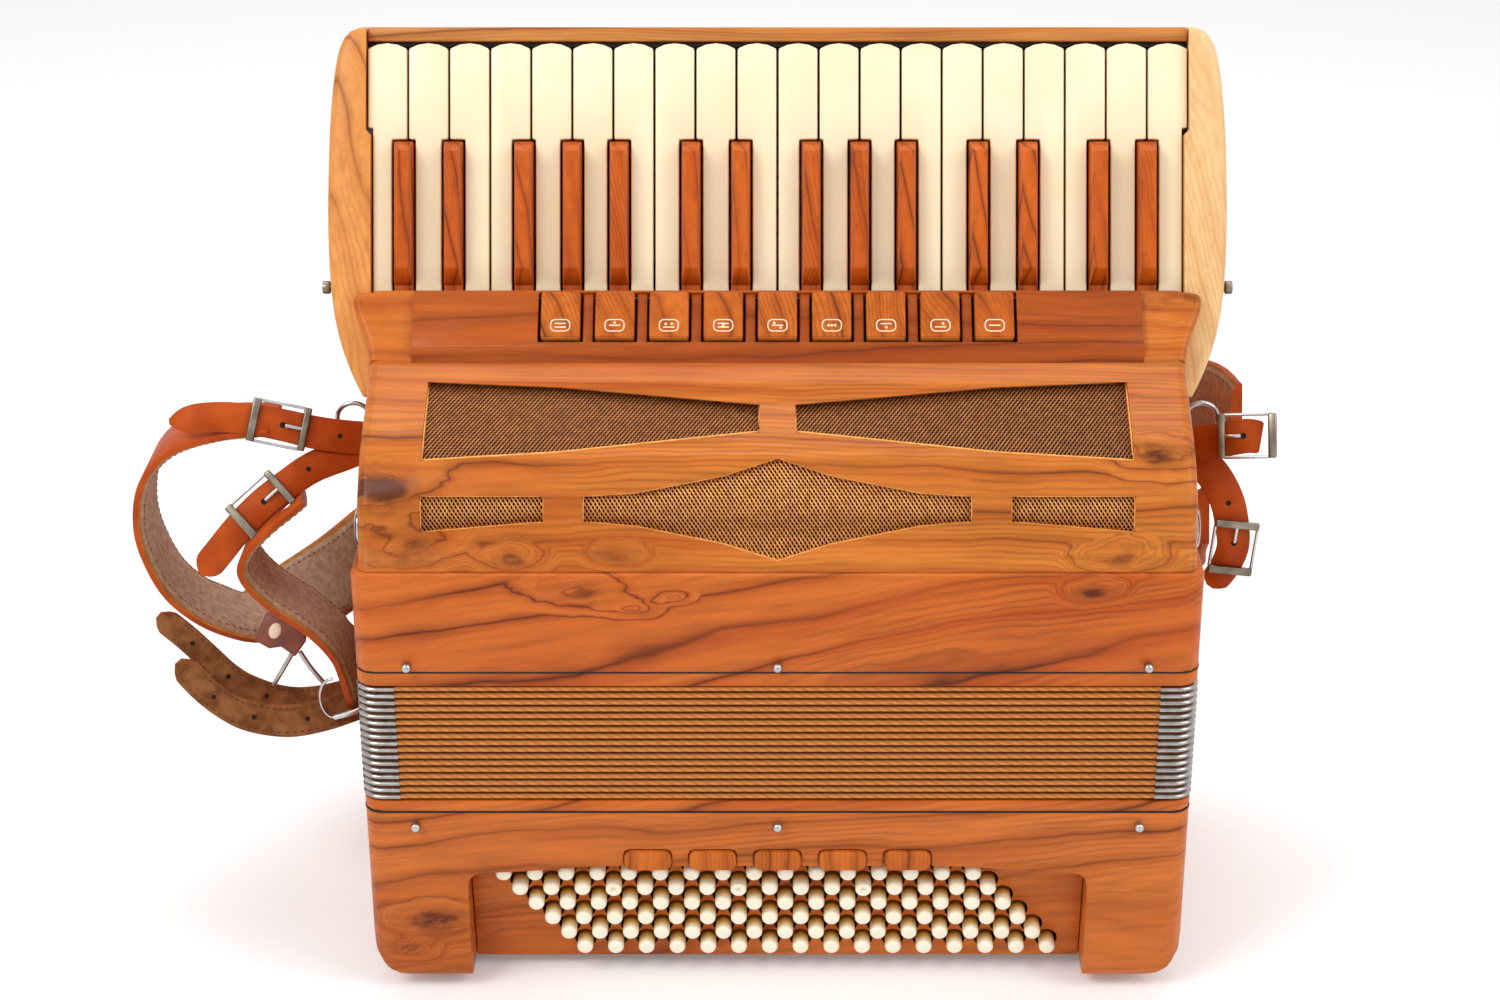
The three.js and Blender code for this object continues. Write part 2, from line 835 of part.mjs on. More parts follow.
function blackKey(middle) {
  const half = blackWidth / 2;
  const section = [
    point(-keyTail, -leverDepth - leverDrop),
    point(blackLength, -leverDepth),
    point(blackLength, 0),
    point(blackLength - blackTipRun, blackRise),
    point(blackStart + blackBackRun, blackRise),
    point(blackStart, keyGap),
    point(blackStart, 0),
    point(-keyTail, 0),
  ];
  const crossSection = [
    point(middle - half, -leverDepth - overrun),
    point(middle + half, -leverDepth - overrun),
    point(middle + half, 0),
    point(middle + blackTopWidth / 2, blackRise),
    point(middle - blackTopWidth / 2, blackRise),
    point(middle - half, 0),
  ];
  const body = prismX(section, middle - half, middle + half);
  const shaped = body.intersect(prismY(crossSection, -keyTail - overrun, blackLength + overrun));
  return shaped.subtract(prismX(forkOutline(), middle - blackWidth, middle + blackWidth));
}

function keyAxle() {
  const half = fieldHalf + axleSeat;
  return cylinderX(axleRadius, -half, half, -axleSetback, -axleDrop, buttonSides);
}

// Keyboard bed: carries the keys, closes the back and ends in the rail above the tips
function keyboardBed() {
  const railStart = whiteLength + railGap;
  const railEnd = railStart + railThickness;
  const back = bodyDepth - bedBack;
  const foot = shelfTop + seatGap;
  const outline = [
    toKeyboard(keyBaseY + bedFootLag, foot),
    point(-bedTail, -bedDrop),
    point(railStart, -bedDrop),
    point(railStart, -railDrop),
    point(railEnd, -railDrop),
    point(railEnd, -railBack),
    toKeyboard(back, keyBaseZ + whiteLength * bedBackShare),
    toKeyboard(back, foot),
  ].reverse();
  const half = fieldHalf - seatGap;
  return prismX(outline, -half, half);
}

// The same line moved inwards, square to itself
function inward(line, distance) {
  return line.map((p, i) => {
    const before = line[Math.max(i - 1, 0)];
    const after = line[Math.min(i + 1, line.length - 1)];
    const along = point(after.x - before.x, after.y - before.y).normalize();
    return point(p.x + along.y * distance, p.y - along.x * distance);
  });
}

// A plate with a curved edge that is rounded on both faces; the rest of its outline stays square
function roundedPlate(curve, rest, low, high, radius, steps) {
  const outlineAt = (inset) => [...inward(curve, inset), ...rest].reverse();
  const faces = THREE.ShapeUtils.triangulateShape(outlineAt(0), []);
  const levels = [];
  for (let i = 0; i <= steps; i++) {
    const angle = ((i / steps) * Math.PI) / 2;
    levels.push({ inset: radius * (1 - Math.sin(angle)), rise: radius * (1 - Math.cos(angle)) });
  }
  const places = [
    ...levels.map((level) => ({ z: low + level.rise, inset: level.inset })),
    ...levels.reverse().map((level) => ({ z: high - level.rise, inset: level.inset })),
  ];
  const rings = places.map((place) => {
    return outlineAt(place.inset).map((p) => new THREE.Vector3(p.x, p.y, place.z));
  });
  return loft(rings, false, faces);
}

// Cheek: a curved end plate beside the keys, drawn here for the right side
function cheek(side) {
  const inner = fieldHalf + seatGap;
  const stepped = inner - edgeStep;
  const outer = inner + cheekThickness;
  const height = cheekTop + cheekTail;
  const through = cheekShares.map(([inset, place]) => {
    return point(outer - inset * cheekThickness, place * height - cheekTail);
  });
  const curve = new THREE.SplineCurve(through.reverse()).getPoints(cheekCurveSteps);
  const rest = [
    point(stepped, -cheekTail),
    point(stepped, cheekStepPlace),
    point(inner, cheekStepPlace + edgeStep),
  ];
  const body = roundedPlate(curve, rest, -cheekDepth, cheekRise, cheekRound, cheekRoundSteps);
  const bore = cylinderX(
    axleRadius + seatGap,
    stepped - overrun,
    fieldHalf + axleSeat + seatGap,
    -axleSetback,
    -axleDrop,
    buttonSides,
  );
  const relief = prismX(
    [
      point(-cheekTail - overrun, -cheekDepth - overrun),
      point(cheekStepPlace + edgeStep, -cheekDepth - overrun),
      point(cheekStepPlace + edgeStep, -whiteDepth),
      point(-cheekTail - overrun, -whiteDepth),
    ],
    stepped - overrun,
    inner,
  );
  const seat = shelfTop + seatGap;
  const besideCase = prismX(
    [
      toKeyboard(-overrun, footHeight),
      toKeyboard(bodyDepth + overrun, footHeight),
      toKeyboard(bodyDepth + overrun, seat),
      toKeyboard(-overrun, seat),
    ],
    stepped - overrun,
    halfWidth + seatGap,
  );
  const right = body.subtract(bore).subtract(relief).subtract(besideCase);
  if (side > 0) return right;
  return right.mirror([1, 0, 0]);
}

// Grille cover: a shell that follows its section, with closed sides and five openings
function coverLine() {
  const base = bandTop + seatGap;
  const places = coverShares.map(([run, rise]) => {
    return point(coverLip + run * coverRun, base + rise * coverRise);
  });
  const upperEdge = places.pop();
  return [...new THREE.SplineCurve(places).getPoints(coverCurveSteps), upperEdge];
}

const coverBack = shelfSetback - seatGap;

function flankBack() {
  const sine = Math.sin(keyLean);
  const cosine = Math.cos(keyLean);
  const place = (s, t) => point(keyBaseY + s * sine - t * cosine, keyBaseZ + s * cosine + t * sine);
  return [place(-2 * keyWellGap, keyWellGap), place(-keyTail, keyWellGap)];
}

function coverShell() {
  const base = bandTop + seatGap;
  const line = coverLine();
  const last = line[line.length - 1];
  const rest = [
    ...flankBack(),
    point(coverBack, keyBaseZ - keyTail - overrun),
    point(coverBack, base - coverSkirt),
    point(coverLip + coverEdge, base - coverSkirt),
  ];
  const profileAt = (inset) => [...inward(line, inset), ...rest].reverse();
  const faces = THREE.ShapeUtils.triangulateShape(profileAt(0), []);
  const half = [];
  for (let i = 0; i <= coverSteps; i++) {
    const angle = ((i / coverSteps) * Math.PI) / 2;
    const inset = coverEdge * (1 - Math.sin(angle));
    half.push({ x: coverHalfWidth - coverEdge * (1 - Math.cos(angle)), inset });
  }
  const stations = [...half.map((s) => ({ x: -s.x, inset: s.inset })), ...half.reverse()];
  const rings = stations.map((s) => profileAt(s.inset).map((p) => new THREE.Vector3(s.x, p.x, p.y)));
  const outer = loft(rings, false, faces);
  const inner = inward(line, coverWall);
  const first = inner[0];
  const end = inner[inner.length - 1];
  const innerProfile = [
    point(first.x, base - coverSkirt - overrun),
    ...inner,
    point(end.x + last.x, end.y),
    point(end.x + last.x, base - coverSkirt - overrun),
  ].reverse();
  const hollowHalf = coverHalfWidth - coverWall;
  const hollow = prismX(innerProfile, -hollowHalf, hollowHalf);
  const below = box(-bodyWidth, bodyWidth, -bodyDepth, 2 * bodyDepth, trebleBase, base);
  return outer.subtract(hollow).subtract(below);
}

// Openings are drawn in the keyboard's frame and cut square to the keyboard
const openingOf = (shares) => shares.map(([x, y]) => point(x * coverHalfWidth, -y * coverSpan));

function openingOutlines() {
  const upper = openingOf(upperPanelShares);
  const small = openingOf(smallPanelShares);
  const right = openingOf(diamondShares);
  const left = mirrored(right).slice(1, -1);
  return [upper, mirrored(upper), small, mirrored(small), [...right, ...left]];
}

function placedOnBody(solid) {
  return solid
    .rotate([90 - keyLean / degree, 0, 0])
    .translate([0, keyBaseY, keyBaseZ]);
}

// Slope frame: origin at the cover's upper edge, +Y up the slope, +Z out of it
const [coverBeforeEnd, coverEnd] = coverLine().slice(-2);
const slopeLean = Math.atan2(coverEnd.x - coverBeforeEnd.x, coverEnd.y - coverBeforeEnd.y);

function placedOnSlope(solid) {
  return solid
    .rotate([90 - slopeLean / degree, 0, 0])
    .translate([0, coverEnd.x, coverEnd.y]);
}

function trebleTabX(i) {
  return (i - (trebleTabs - 1) / 2) * trebleTabPitch;
}

const slotTop = trebleTabSetback - slotMargin;
const slotBottom = trebleTabSetback + trebleTabLength + slotMargin;
const slotHalf = trebleTabX(trebleTabs - 1) + trebleTabWidth / 2 + slotMargin;

// A rounded shoulder at one end of the cover's upper edge, clear of the cheek behind it
function shoulder(side) {
  const root = coverHalfWidth - coverWall;
  const reach = halfWidth + shoulderReach - root;
  const through = shoulderShares.map(([out, down]) => point(root + out * reach, -down * shoulderLength));
  const curve = new THREE.SplineCurve(through).getPoints(shoulderCurveSteps);
  const plate = roundedPlate(curve, [], -shoulderDepth, 0, shoulderRound, shoulderRoundSteps);
  const cheekFront = cheekRise + seatGap;
  const room = box(0, bodyWidth, -bodyDepth, bodyDepth, cheekFront, cheekFront + bodyDepth);
  const right = placedOnSlope(plate).intersect(placedOnBody(room));
  return side > 0 ? right : right.mirror([1, 0, 0]);
}

// The raised panel round the tabs, chamfered along its lower edge
function registerPanel() {
  const foot = -slotBottom - registerPanelLap;
  const section = [
    point(-registerPanelTop, -joinLap),
    point(-registerPanelTop, registerPanelProud),
    point(foot, registerPanelProud),
    point(foot - registerPanelChamfer, 0),
    point(foot - registerPanelChamfer, -joinLap),
  ];
  return placedOnSlope(prismX(section, -registerPanelHalf, registerPanelHalf));
}

function grilleCover() {
  const deep = bodyDepth / 2;
  const openings = openingOutlines().map((outline) => placedOnBody(prismZ(outline, -deep, deep)));
  const depth = registerPanelProud + coverWall + overrun;
  const slot = placedOnSlope(box(-slotHalf, slotHalf, -slotBottom, -slotTop, -depth, depth));
  const shell = union([coverShell(), shoulder(1), shoulder(-1), registerPanel()]);
  return shell.subtract(union(openings)).subtract(slot);
}

function grilleMesh() {
  const line = coverLine().slice(0, -1);
  const front = inward(line, coverWall + seatGap);
  const back = inward(line, coverWall + seatGap + meshThickness);
  const half = Math.max(...openingOutlines().flat().map((p) => p.x)) + meshSideLap;
  const sheet = prismX([...front, ...back.reverse()].reverse(), -half, half);
  const reach = bodyDepth;
  const corners = openingOutlines().flat();
  const top = Math.max(...corners.map((p) => p.y)) + meshTopLap;
  const bottom = Math.min(...corners.map((p) => p.y)) - meshBottomLap;
  const window = placedOnBody(box(-bodyWidth, bodyWidth, bottom, top, -reach, reach));
  return sheet.intersect(window);
}

function trebleRegisters() {
  const barTop = -coverWall - seatGap;
  const barBottom = barTop - trebleBarThickness;
  const barHalf = slotHalf + trebleBarLap;
  const barEnd = -slotBottom - trebleBarLap;
  const solids = [box(-barHalf, barHalf, barEnd, -slotTop, barBottom, barTop)];
  for (let i = 0; i < trebleTabs; i++) {
    const x = trebleTabX(i);
    const outline = roundedBox(
      x - trebleTabWidth / 2,
      x + trebleTabWidth / 2,
      -trebleTabSetback - trebleTabLength,
      -trebleTabSetback,
      trebleTabCorner,
      2,
    );
    solids.push(prismZ(outline, barTop - joinLap, trebleTabProud));
  }
  return placedOnSlope(union(solids));
}

// Strap bracket on the side of the raised part: a plate with a standing ring
function strapBracket(side) {
  const z = bandTop + bracketRise;
  const face = halfWidth + seatGap;
  const outline = roundedBox(
    bracketSetback - bracketLength / 2,
    bracketSetback + bracketLength / 2,
    z - bracketHeight / 2,
    z + bracketHeight / 2,
    bracketCorner,
    2,
  );
  const plate = prismX(outline, face, face + bracketThickness);
  const ring = new THREE.TorusGeometry(ringRadius, ringWire / 2, ringWireSides, ringSteps);
  ring.rotateX(Math.PI / 2);
  ring.translate(face + bracketThickness + ringRadius, bracketSetback, z);
  const right = plate.add(solidOf(ring));
  return side > 0 ? right : right.mirror([1, 0, 0]);
}

// A band through hand-chosen stations; each has its middle, the direction of its width and its width
function strapBand(stations, thickness, steps) {
  const curve = new THREE.CatmullRomCurve3(stations.map((s) => s.at), false, "centripetal");
  const rings = [];
  const spans = stations.length - 1;
  for (let i = 0; i <= spans * steps; i++) {
    const from = Math.min(Math.floor(i / steps), spans - 1);
    const share = i / steps - from;
    const next = stations[from + 1];
    const across = stations[from].across.clone().lerp(next.across, share).normalize();
    const width = THREE.MathUtils.lerp(stations[from].width, next.width, share);
    const middle = curve.getPoint(i / (spans * steps));
    const along = curve.getTangent(i / (spans * steps));
    const thick = new THREE.Vector3().crossVectors(along, across).normalize();
    const wide = new THREE.Vector3().crossVectors(thick, along).normalize();
    const corner = (a, b) => {
      const edge = middle.clone().addScaledVector(wide, (a * width) / 2);
      return edge.addScaledVector(thick, (b * thickness) / 2);
    };
    rings.push([corner(-1, -1), corner(1, -1), corner(1, 1), corner(-1, 1)]);
  }
  return loft(rings, false);
}

const level = new THREE.Vector3(0, 1, 0);
const turning = new THREE.Vector3(0, 1, 1);
const upright = new THREE.Vector3(0, 0, 1);

// Each station: share of the body's half width, of its depth and of the rings' height, then the
// direction of the band's width, and the width itself
const upperStrapShares = [
  [-1.221, 0.5567, 1.006, level, strapEndWidth],
  [-1.347, 0.5412, 1.006, level, strapWidth],
  [-1.474, 0.5412, 0.981, level, strapWidth],
  [-1.563, 0.5412, 0.9156, level, strapWidth],
  [-1.584, 0.5412, 0.8093, level, strapWidth],
  [-1.542, 0.5412, 0.703, level, strapWidth],
  [-1.432, 0.5773, 0.5967, level, strapWidth],
  [-1.316, 0.6907, 0.5395, level, strapWidth],
  [-1.179, 0.8866, 0.5477, turning, strapWidth],
  [-1.042, 1.052, 0.5967, upright, strapWidth],
  [-0.7895, 1.062, 0.654, upright, strapWidth],
  [0, 1.072, 0.7766, upright, strapWidth],
  [0.7895, 1.062, 0.8747, upright, strapWidth],
  [1.042, 1.031, 0.9074, upright, strapWidth],
  [1.137, 0.8763, 0.9401, upright, strapWidth],
  [1.179, 0.701, 0.981, upright, strapEndWidth],
  [1.153, 0.6082, 1, upright, strapEndWidth],
];
const lowerStrapShares = [
  [-1.147, 0.4845, 0.9074, level, strapEndWidth],
  [-1.242, 0.4227, 0.8542, level, strapWidth],
  [-1.3, 0.4124, 0.7684, level, strapWidth],
  [-1.253, 0.4124, 0.703, level, strapWidth],
  [-1.158, 0.4227, 0.6376, level, strapWidth],
  [-1.089, 0.4742, 0.5313, level, strapWidth],
  [-1.089, 0.6701, 0.4006, level, strapWidth],
  [-1.079, 0.9072, 0.3433, turning, strapWidth],
  [-1, 1.057, 0.3515, upright, strapWidth],
  [-0.7895, 1.067, 0.3597, upright, strapWidth],
  [0, 1.072, 0.4333, upright, strapWidth],
  [0.7895, 1.067, 0.5232, upright, strapWidth],
  [1.042, 1.031, 0.5722, upright, strapWidth],
  [1.105, 0.866, 0.6621, upright, strapWidth],
  [1.095, 0.701, 0.7766, upright, strapEndWidth],
];

const ringMiddle = bandTop + bracketRise;
const ringX = halfWidth + seatGap + bracketThickness + ringRadius;
const ringTip = ringX + ringRadius + ringWire / 2 + seatGap;

function stationsOf(shares) {
  return shares.map(([x, y, z, across, width]) => {
    return station(x * halfWidth, y * bodyDepth, z * ringMiddle, across, width);
  });
}

function station(x, y, z, across, width) {
  return { at: new THREE.Vector3(x, y, z), across, width };
}

function upperShoulderStrap() {
  const stations = [
    station(-ringTip, bracketSetback, ringMiddle, level, strapEndWidth),
    ...stationsOf(upperStrapShares),
    station(ringTip, bracketSetback, ringMiddle, upright, strapEndWidth),
  ];
  return strapBand(stations, strapThickness, strapSteps);
}

function lowerShoulderStrap() {
  const end = strapEndWidth;
  const underRing = ringMiddle - ringRadius - ringWire / 2 - seatGap;
  const stations = [
    station(-ringX, bracketSetback, underRing - strapThickness / 2, level, end),
    ...stationsOf(lowerStrapShares),
    station(ringX, bracketSetback, underRing - end / 2, upright, end),
  ];
  return strapBand(stations, strapThickness, strapSteps);
}

addPiece(accordion, "bass_case", bassCase(), oliveWood);
addPiece(accordion, "bass_hand_strap", handStrap(), leather);
addPiece(accordion, "bass_registers", bassRegisters(), oliveWood);
addPiece(accordion, "air_button", airButton(), steel);
addPiece(buttonBoard, "bass_button_board", buttonBoardPlate(), oliveWood);
for (let row = 0; row < buttonRows; row++) {
  addPiece(buttonBoard, "bass_button_row_" + (row + 1), buttonRow(row), ivory);
}
addPiece(accordion, "bellows_frame_bass", frame(bassFrameBase, bassFrameHeight), oliveWood);
addPiece(accordion, "bellows", bellows(), cloth);
addPiece(accordion, "bellows_frame_treble", frame(trebleFrameBase, trebleFrameHeight), oliveWood);
addPiece(accordion, "treble_case", trebleCase(), oliveWood);
addPiece(accordion, "grille_cover", grilleCover(), oliveWood);
addPiece(accordion, "grille_mesh", grilleMesh(), brassMesh);
addPiece(accordion, "treble_registers", trebleRegisters(), oliveWood);
addPiece(keyboard, "keyboard_bed", keyboardBed(), darkWood);
addPiece(keyboard, "keyboard_cheek_left", cheek(-1), oliveWood);
addPiece(keyboard, "keyboard_cheek_right", cheek(1), paleWood);
addPiece(keyboard, "key_axle", keyAxle(), steel);
for (let key = 0; key < whiteKeys; key++) {
  addPiece(keyboard, "white_key_" + String(key + 1).padStart(2, "0"), whiteKey(key), ivory);
}
let blackCount = 0;
for (let key = 0; key < whiteKeys; key++) {
  const middle = blackMiddle(key);
  if (middle === null) continue;
  blackCount += 1;
  addPiece(keyboard, "black_key_" + String(blackCount).padStart(2, "0"), blackKey(middle), darkWood);
}
addPiece(accordion, "strap_bracket_left", strapBracket(-1), steel);
addPiece(accordion, "strap_bracket_right", strapBracket(1), steel);
addPiece(accordion, "shoulder_strap_upper", upperShoulderStrap(), leather);
addPiece(accordion, "shoulder_strap_lower", lowerShoulderStrap(), leather);

// The origin moves to the floor under the middle of everything
const group = new THREE.Group();
group.add(accordion);
group.updateMatrixWorld(true);
const extent = new THREE.Box3().setFromObject(group, true);
const middle = extent.getCenter(new THREE.Vector3());
accordion.position.set(-middle.x, -middle.y, -extent.min.z);
export default group;
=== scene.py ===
# %% [markdown]
# # A wooden piano accordion
# The instrument stands on the feet of its bass end, so the keyboard is on top and the grille faces
# the viewer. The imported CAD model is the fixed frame: it gives every place and every size. The
# pieces below are modelled over it and ride on its bodies.

# %% Load the frame
import math
import bpy
from mathutils import Matrix, Vector


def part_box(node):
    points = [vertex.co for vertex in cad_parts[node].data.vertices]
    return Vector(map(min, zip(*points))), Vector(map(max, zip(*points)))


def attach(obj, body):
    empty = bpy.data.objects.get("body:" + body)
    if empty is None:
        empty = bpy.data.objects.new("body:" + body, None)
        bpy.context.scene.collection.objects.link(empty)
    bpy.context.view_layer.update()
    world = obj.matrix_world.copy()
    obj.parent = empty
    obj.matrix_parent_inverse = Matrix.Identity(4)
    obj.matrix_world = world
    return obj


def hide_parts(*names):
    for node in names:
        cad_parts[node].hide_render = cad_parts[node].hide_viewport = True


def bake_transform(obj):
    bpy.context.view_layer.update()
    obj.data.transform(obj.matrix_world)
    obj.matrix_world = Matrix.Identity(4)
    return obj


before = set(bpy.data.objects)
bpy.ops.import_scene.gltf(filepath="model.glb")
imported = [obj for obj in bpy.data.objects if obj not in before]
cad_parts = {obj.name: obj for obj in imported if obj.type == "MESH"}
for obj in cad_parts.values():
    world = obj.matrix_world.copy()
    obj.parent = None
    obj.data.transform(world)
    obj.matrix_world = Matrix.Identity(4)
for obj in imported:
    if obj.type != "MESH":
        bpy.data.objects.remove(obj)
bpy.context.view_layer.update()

bpy.ops.object.select_all(action="DESELECT")

# %% [markdown]
# Lengths are written in millimetres, as a maker reads them, in the same standing frame as the
# part's source: X across, Y from the grille to the back, Z up from the floor. The helpers turn
# them into metres and into the frame's own origin, on the floor under the middle of everything.
# Three faces lean, so each has a place of its own: the keys, the cover's upper slope, and the
# board of the bass buttons. On those, X runs across, and the other two axes follow the face.

# %% Units and places
MM = 0.001
case_low, case_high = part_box("bass_case")
BASE = Vector(((case_low.x + case_high.x) / 2, case_low.y, case_low.z))


def at(x, y, z):
    return Vector((x, y, z)) * MM + BASE


def frame_at(x, y, z, lean):
    return Matrix.Translation(at(x, y, z)) @ Matrix.Rotation(lean, 4, "X")


HALF_WIDTH, BODY_DEPTH, FOOT = 190, 194, 6
BASS_TOP, BELLOWS_BASE, BELLOWS_TOP, TREBLE_BASE, BAND_TOP = 96.9, 102.9, 162.06, 169.26, 217.66
COVER_RUN, COVER_RISE, COVER_LIP = 101, 94.9, 3
COVER_SHARES = [
    (0, 0), (0.078, 0.13), (0.089, 0.253), (0.146, 0.356),
    (0.297, 0.502), (0.563, 0.638), (0.75, 0.733), (1, 1),
]
KEY_LEAN, BOARD_TILT, BOARD_RISE = math.radians(24), math.radians(7.5), 63
SLOPE_LEAN = math.atan2((1 - COVER_SHARES[-2][0]) * COVER_RUN, (1 - COVER_SHARES[-2][1]) * COVER_RISE)
BOARD_HEIGHT = BOARD_RISE / math.cos(BOARD_TILT)
STANDING = Matrix.Translation(BASE)
KEYS = frame_at(0, 111.2, BAND_TOP + 93.5, math.pi / 2 - KEY_LEAN)
SLOPE = frame_at(0, 104, BAND_TOP + 95.2, math.pi / 2 - SLOPE_LEAN)
BOARD = frame_at(0, 12.3 + BOARD_HEIGHT * math.sin(BOARD_TILT), FOOT, BOARD_TILT)
print("body", 2 * HALF_WIDTH, "x", BODY_DEPTH, "mm, cover leans", round(math.degrees(SLOPE_LEAN), 1))

# %% [markdown]
# The picture was taken from a little above, with a long lens. The camera looks 24.6 degrees down
# from about 1.4 m away, and a small shift puts the instrument where the picture has it. A shift
# is used, and not a turn, because a turn would make the upright edges lean.

# %% Camera
PHOTO_WIDTH, MIDDLE_PIXEL, FOCAL_PIXELS, SENSOR = 1500, 777.5, 2917, 36
LOOK_DOWN, CAMERA_PLACE = 24.6, (0, -1157.3, 784.3)
bpy.ops.object.camera_add(location=at(*CAMERA_PLACE), rotation=(math.radians(90 - LOOK_DOWN), 0, 0))
camera = bpy.context.object
camera.name = "camera"
camera.data.sensor_width = SENSOR
camera.data.lens = FOCAL_PIXELS / PHOTO_WIDTH * SENSOR
camera.data.shift_x = (PHOTO_WIDTH / 2 - MIDDLE_PIXEL) / PHOTO_WIDTH
camera.data.clip_end = 20
bpy.context.scene.camera = camera
bpy.context.scene.view_settings.view_transform = "Standard"
print("camera lens", round(camera.data.lens, 1), "mm")

# %% [markdown]
# The same few steps come back on every piece: select it alone, put its place into its mesh, apply
# a modifier, round its edges. Each is a helper here, so that the later cells only say what is
# done. Operators act on all that is selected, which is why each helper starts with one piece
# alone.

# %% Helpers to select and shape
def only(piece):
    bpy.ops.object.select_all(action="DESELECT")
    piece.select_set(True)
    bpy.context.view_layer.objects.active = piece
    return piece


def place(piece, matrix):
    """Puts the place into the mesh, so that the object stays at the origin."""
    bpy.context.view_layer.update()
    piece.data.transform(matrix @ piece.matrix_world)
    piece.matrix_world = Matrix.Identity(4)
    return piece


def modify(piece, kind, **settings):
    only(piece)
    modifier = piece.modifiers.new(kind.lower(), kind)
    for key, value in settings.items():
        setattr(modifier, key, value)
    bpy.ops.object.modifier_apply(modifier=modifier.name)
    return piece


def smooth(piece, angle=35):
    only(piece)
    bpy.ops.object.shade_smooth_by_angle(angle=math.radians(angle))
    return piece


def soften(piece, width, segments=3, angle=40, facets=40):
    """Rounds the edges that turn more than an angle, as sanding does."""
    modify(piece, "BEVEL", width=width * MM, segments=segments, limit_method="ANGLE",
           angle_limit=math.radians(angle))
    return smooth(piece, facets)


def outwards(piece):
    """Turns all faces so that they look out of the piece."""
    only(piece)
    bpy.ops.object.mode_set(mode="EDIT")
    bpy.ops.mesh.select_all(action="SELECT")
    bpy.ops.mesh.normals_make_consistent(inside=False)
    bpy.ops.object.mode_set(mode="OBJECT")
    return piece


print("helpers to shape: place, modify, smooth, soften, outwards")

# %% [markdown]
# Pieces are also cut by others, joined, and repeated. What repeats is modelled once and copied. A
# finished piece gets its name and finish, the body that carries it, and the CAD nodes that it takes
# the place of.

# %% Helpers to cut, join, repeat and dress
def cut(piece, *tools):
    for tool in tools:
        modify(piece, "BOOLEAN", object=tool, operation="DIFFERENCE", solver="EXACT")
        bpy.data.objects.remove(tool)
    return piece


def joined(name, pieces):
    only(pieces[0])
    for piece in pieces[1:]:
        piece.select_set(True)
    bpy.ops.object.join()
    pieces[0].name = name
    return pieces[0]


def repeated(model, shifts, matrix=STANDING):
    """Copies of a model, each with a mesh of its own, moved by millimetres along a place's axes."""
    pieces = []
    for shift in shifts:
        piece = bpy.data.objects.new(model.name, model.data.copy())
        bpy.context.scene.collection.objects.link(piece)
        piece.data.transform(Matrix.Translation(matrix.to_3x3() @ Vector(shift) * MM))
        pieces.append(piece)
    bpy.data.objects.remove(model)
    return pieces


def dress(piece, name, material, body, slot, *nodes):
    """Names a finished piece, gives it its finish and says which body carries it."""
    piece.name = name
    piece.data.name = name
    if material is not None:
        piece.data.materials.clear()
        piece.data.materials.append(material)
    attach(piece, body)
    if nodes:
        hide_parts(*nodes)
    return piece


print("helpers to build: cut, joined, repeated, dress")

# %% [markdown]
# Most wooden and metal pieces start from three simple bodies: a block, a round drum and a slab of
# any outline. Each is a primitive, stretched or extruded to its size and then put in place. That
# keeps the edges few and clean, so a bevel later takes them well.

# %% Blocks, drums and slabs
def block(low, high, matrix=STANDING):
    """A cube primitive stretched between two corners."""
    low, high = Vector(low) * MM, Vector(high) * MM
    bpy.ops.mesh.primitive_cube_add(size=1, location=(low + high) / 2, scale=high - low)
    return place(bpy.context.object, matrix)


def drum(radius, low, high, centre, axis="Z", sides=32, matrix=STANDING):
    """A cylinder primitive along one axis, between two places on it."""
    turn = {"Z": (0, 0, 0), "Y": (-math.pi / 2, 0, 0), "X": (0, math.pi / 2, 0)}[axis]
    middle = Vector(centre)
    middle["XYZ".index(axis)] = (low + high) / 2
    bpy.ops.mesh.primitive_cylinder_add(
        vertices=sides, radius=radius * MM, depth=(high - low) * MM,
        location=middle * MM, rotation=turn)
    return place(bpy.context.object, matrix)


def slab(outline, low, high, matrix=STANDING, axis="Z"):
    """A flat outline drawn as a face and extruded along one axis."""
    bpy.ops.mesh.primitive_circle_add(vertices=len(outline), fill_type="NGON")
    piece = bpy.context.object
    lay = {"Z": lambda u, v: (u, v, low), "Y": lambda u, v: (u, low, v), "X": lambda u, v: (low, u, v)}
    for vertex, (u, v) in zip(piece.data.vertices, outline):
        vertex.co = Vector(lay[axis](u, v)) * MM
    run = Vector((0, 0, 0))
    run["XYZ".index(axis)] = (high - low) * MM
    only(piece)
    bpy.ops.object.mode_set(mode="EDIT")
    bpy.ops.mesh.select_all(action="SELECT")
    bpy.ops.mesh.extrude_region_move(TRANSFORM_OT_translate={"value": run})
    bpy.ops.object.mode_set(mode="OBJECT")
    return place(outwards(piece), matrix)


print("starting bodies: block, drum, slab")

# %% [markdown]
# Some pieces already have their true shape in the CAD model, such as the cases and the keys. Drawing
# them again would only add errors, so a copy is taken. It is cleaned of its loose triangles first,
# because a bevel needs flat faces with shared edges. Outlines of slabs often have round corners, and
# each corner is a quarter of a circle worked out in steps.

# %% Copies and round corners
def cleaned_copy(node):
    """A copy of a CAD node with its loose triangles merged into flat faces."""
    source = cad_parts[node]
    piece = bpy.data.objects.new(node + "_copy", source.data.copy())
    bpy.context.scene.collection.objects.link(piece)
    only(piece)
    if piece.data.has_custom_normals:
        bpy.ops.mesh.customdata_custom_splitnormals_clear()
    bpy.ops.object.mode_set(mode="EDIT")
    bpy.ops.mesh.select_all(action="SELECT")
    bpy.ops.mesh.remove_doubles(threshold=0.00001)
    bpy.ops.mesh.dissolve_limited(angle_limit=math.radians(0.5))
    bpy.ops.object.mode_set(mode="OBJECT")
    return piece


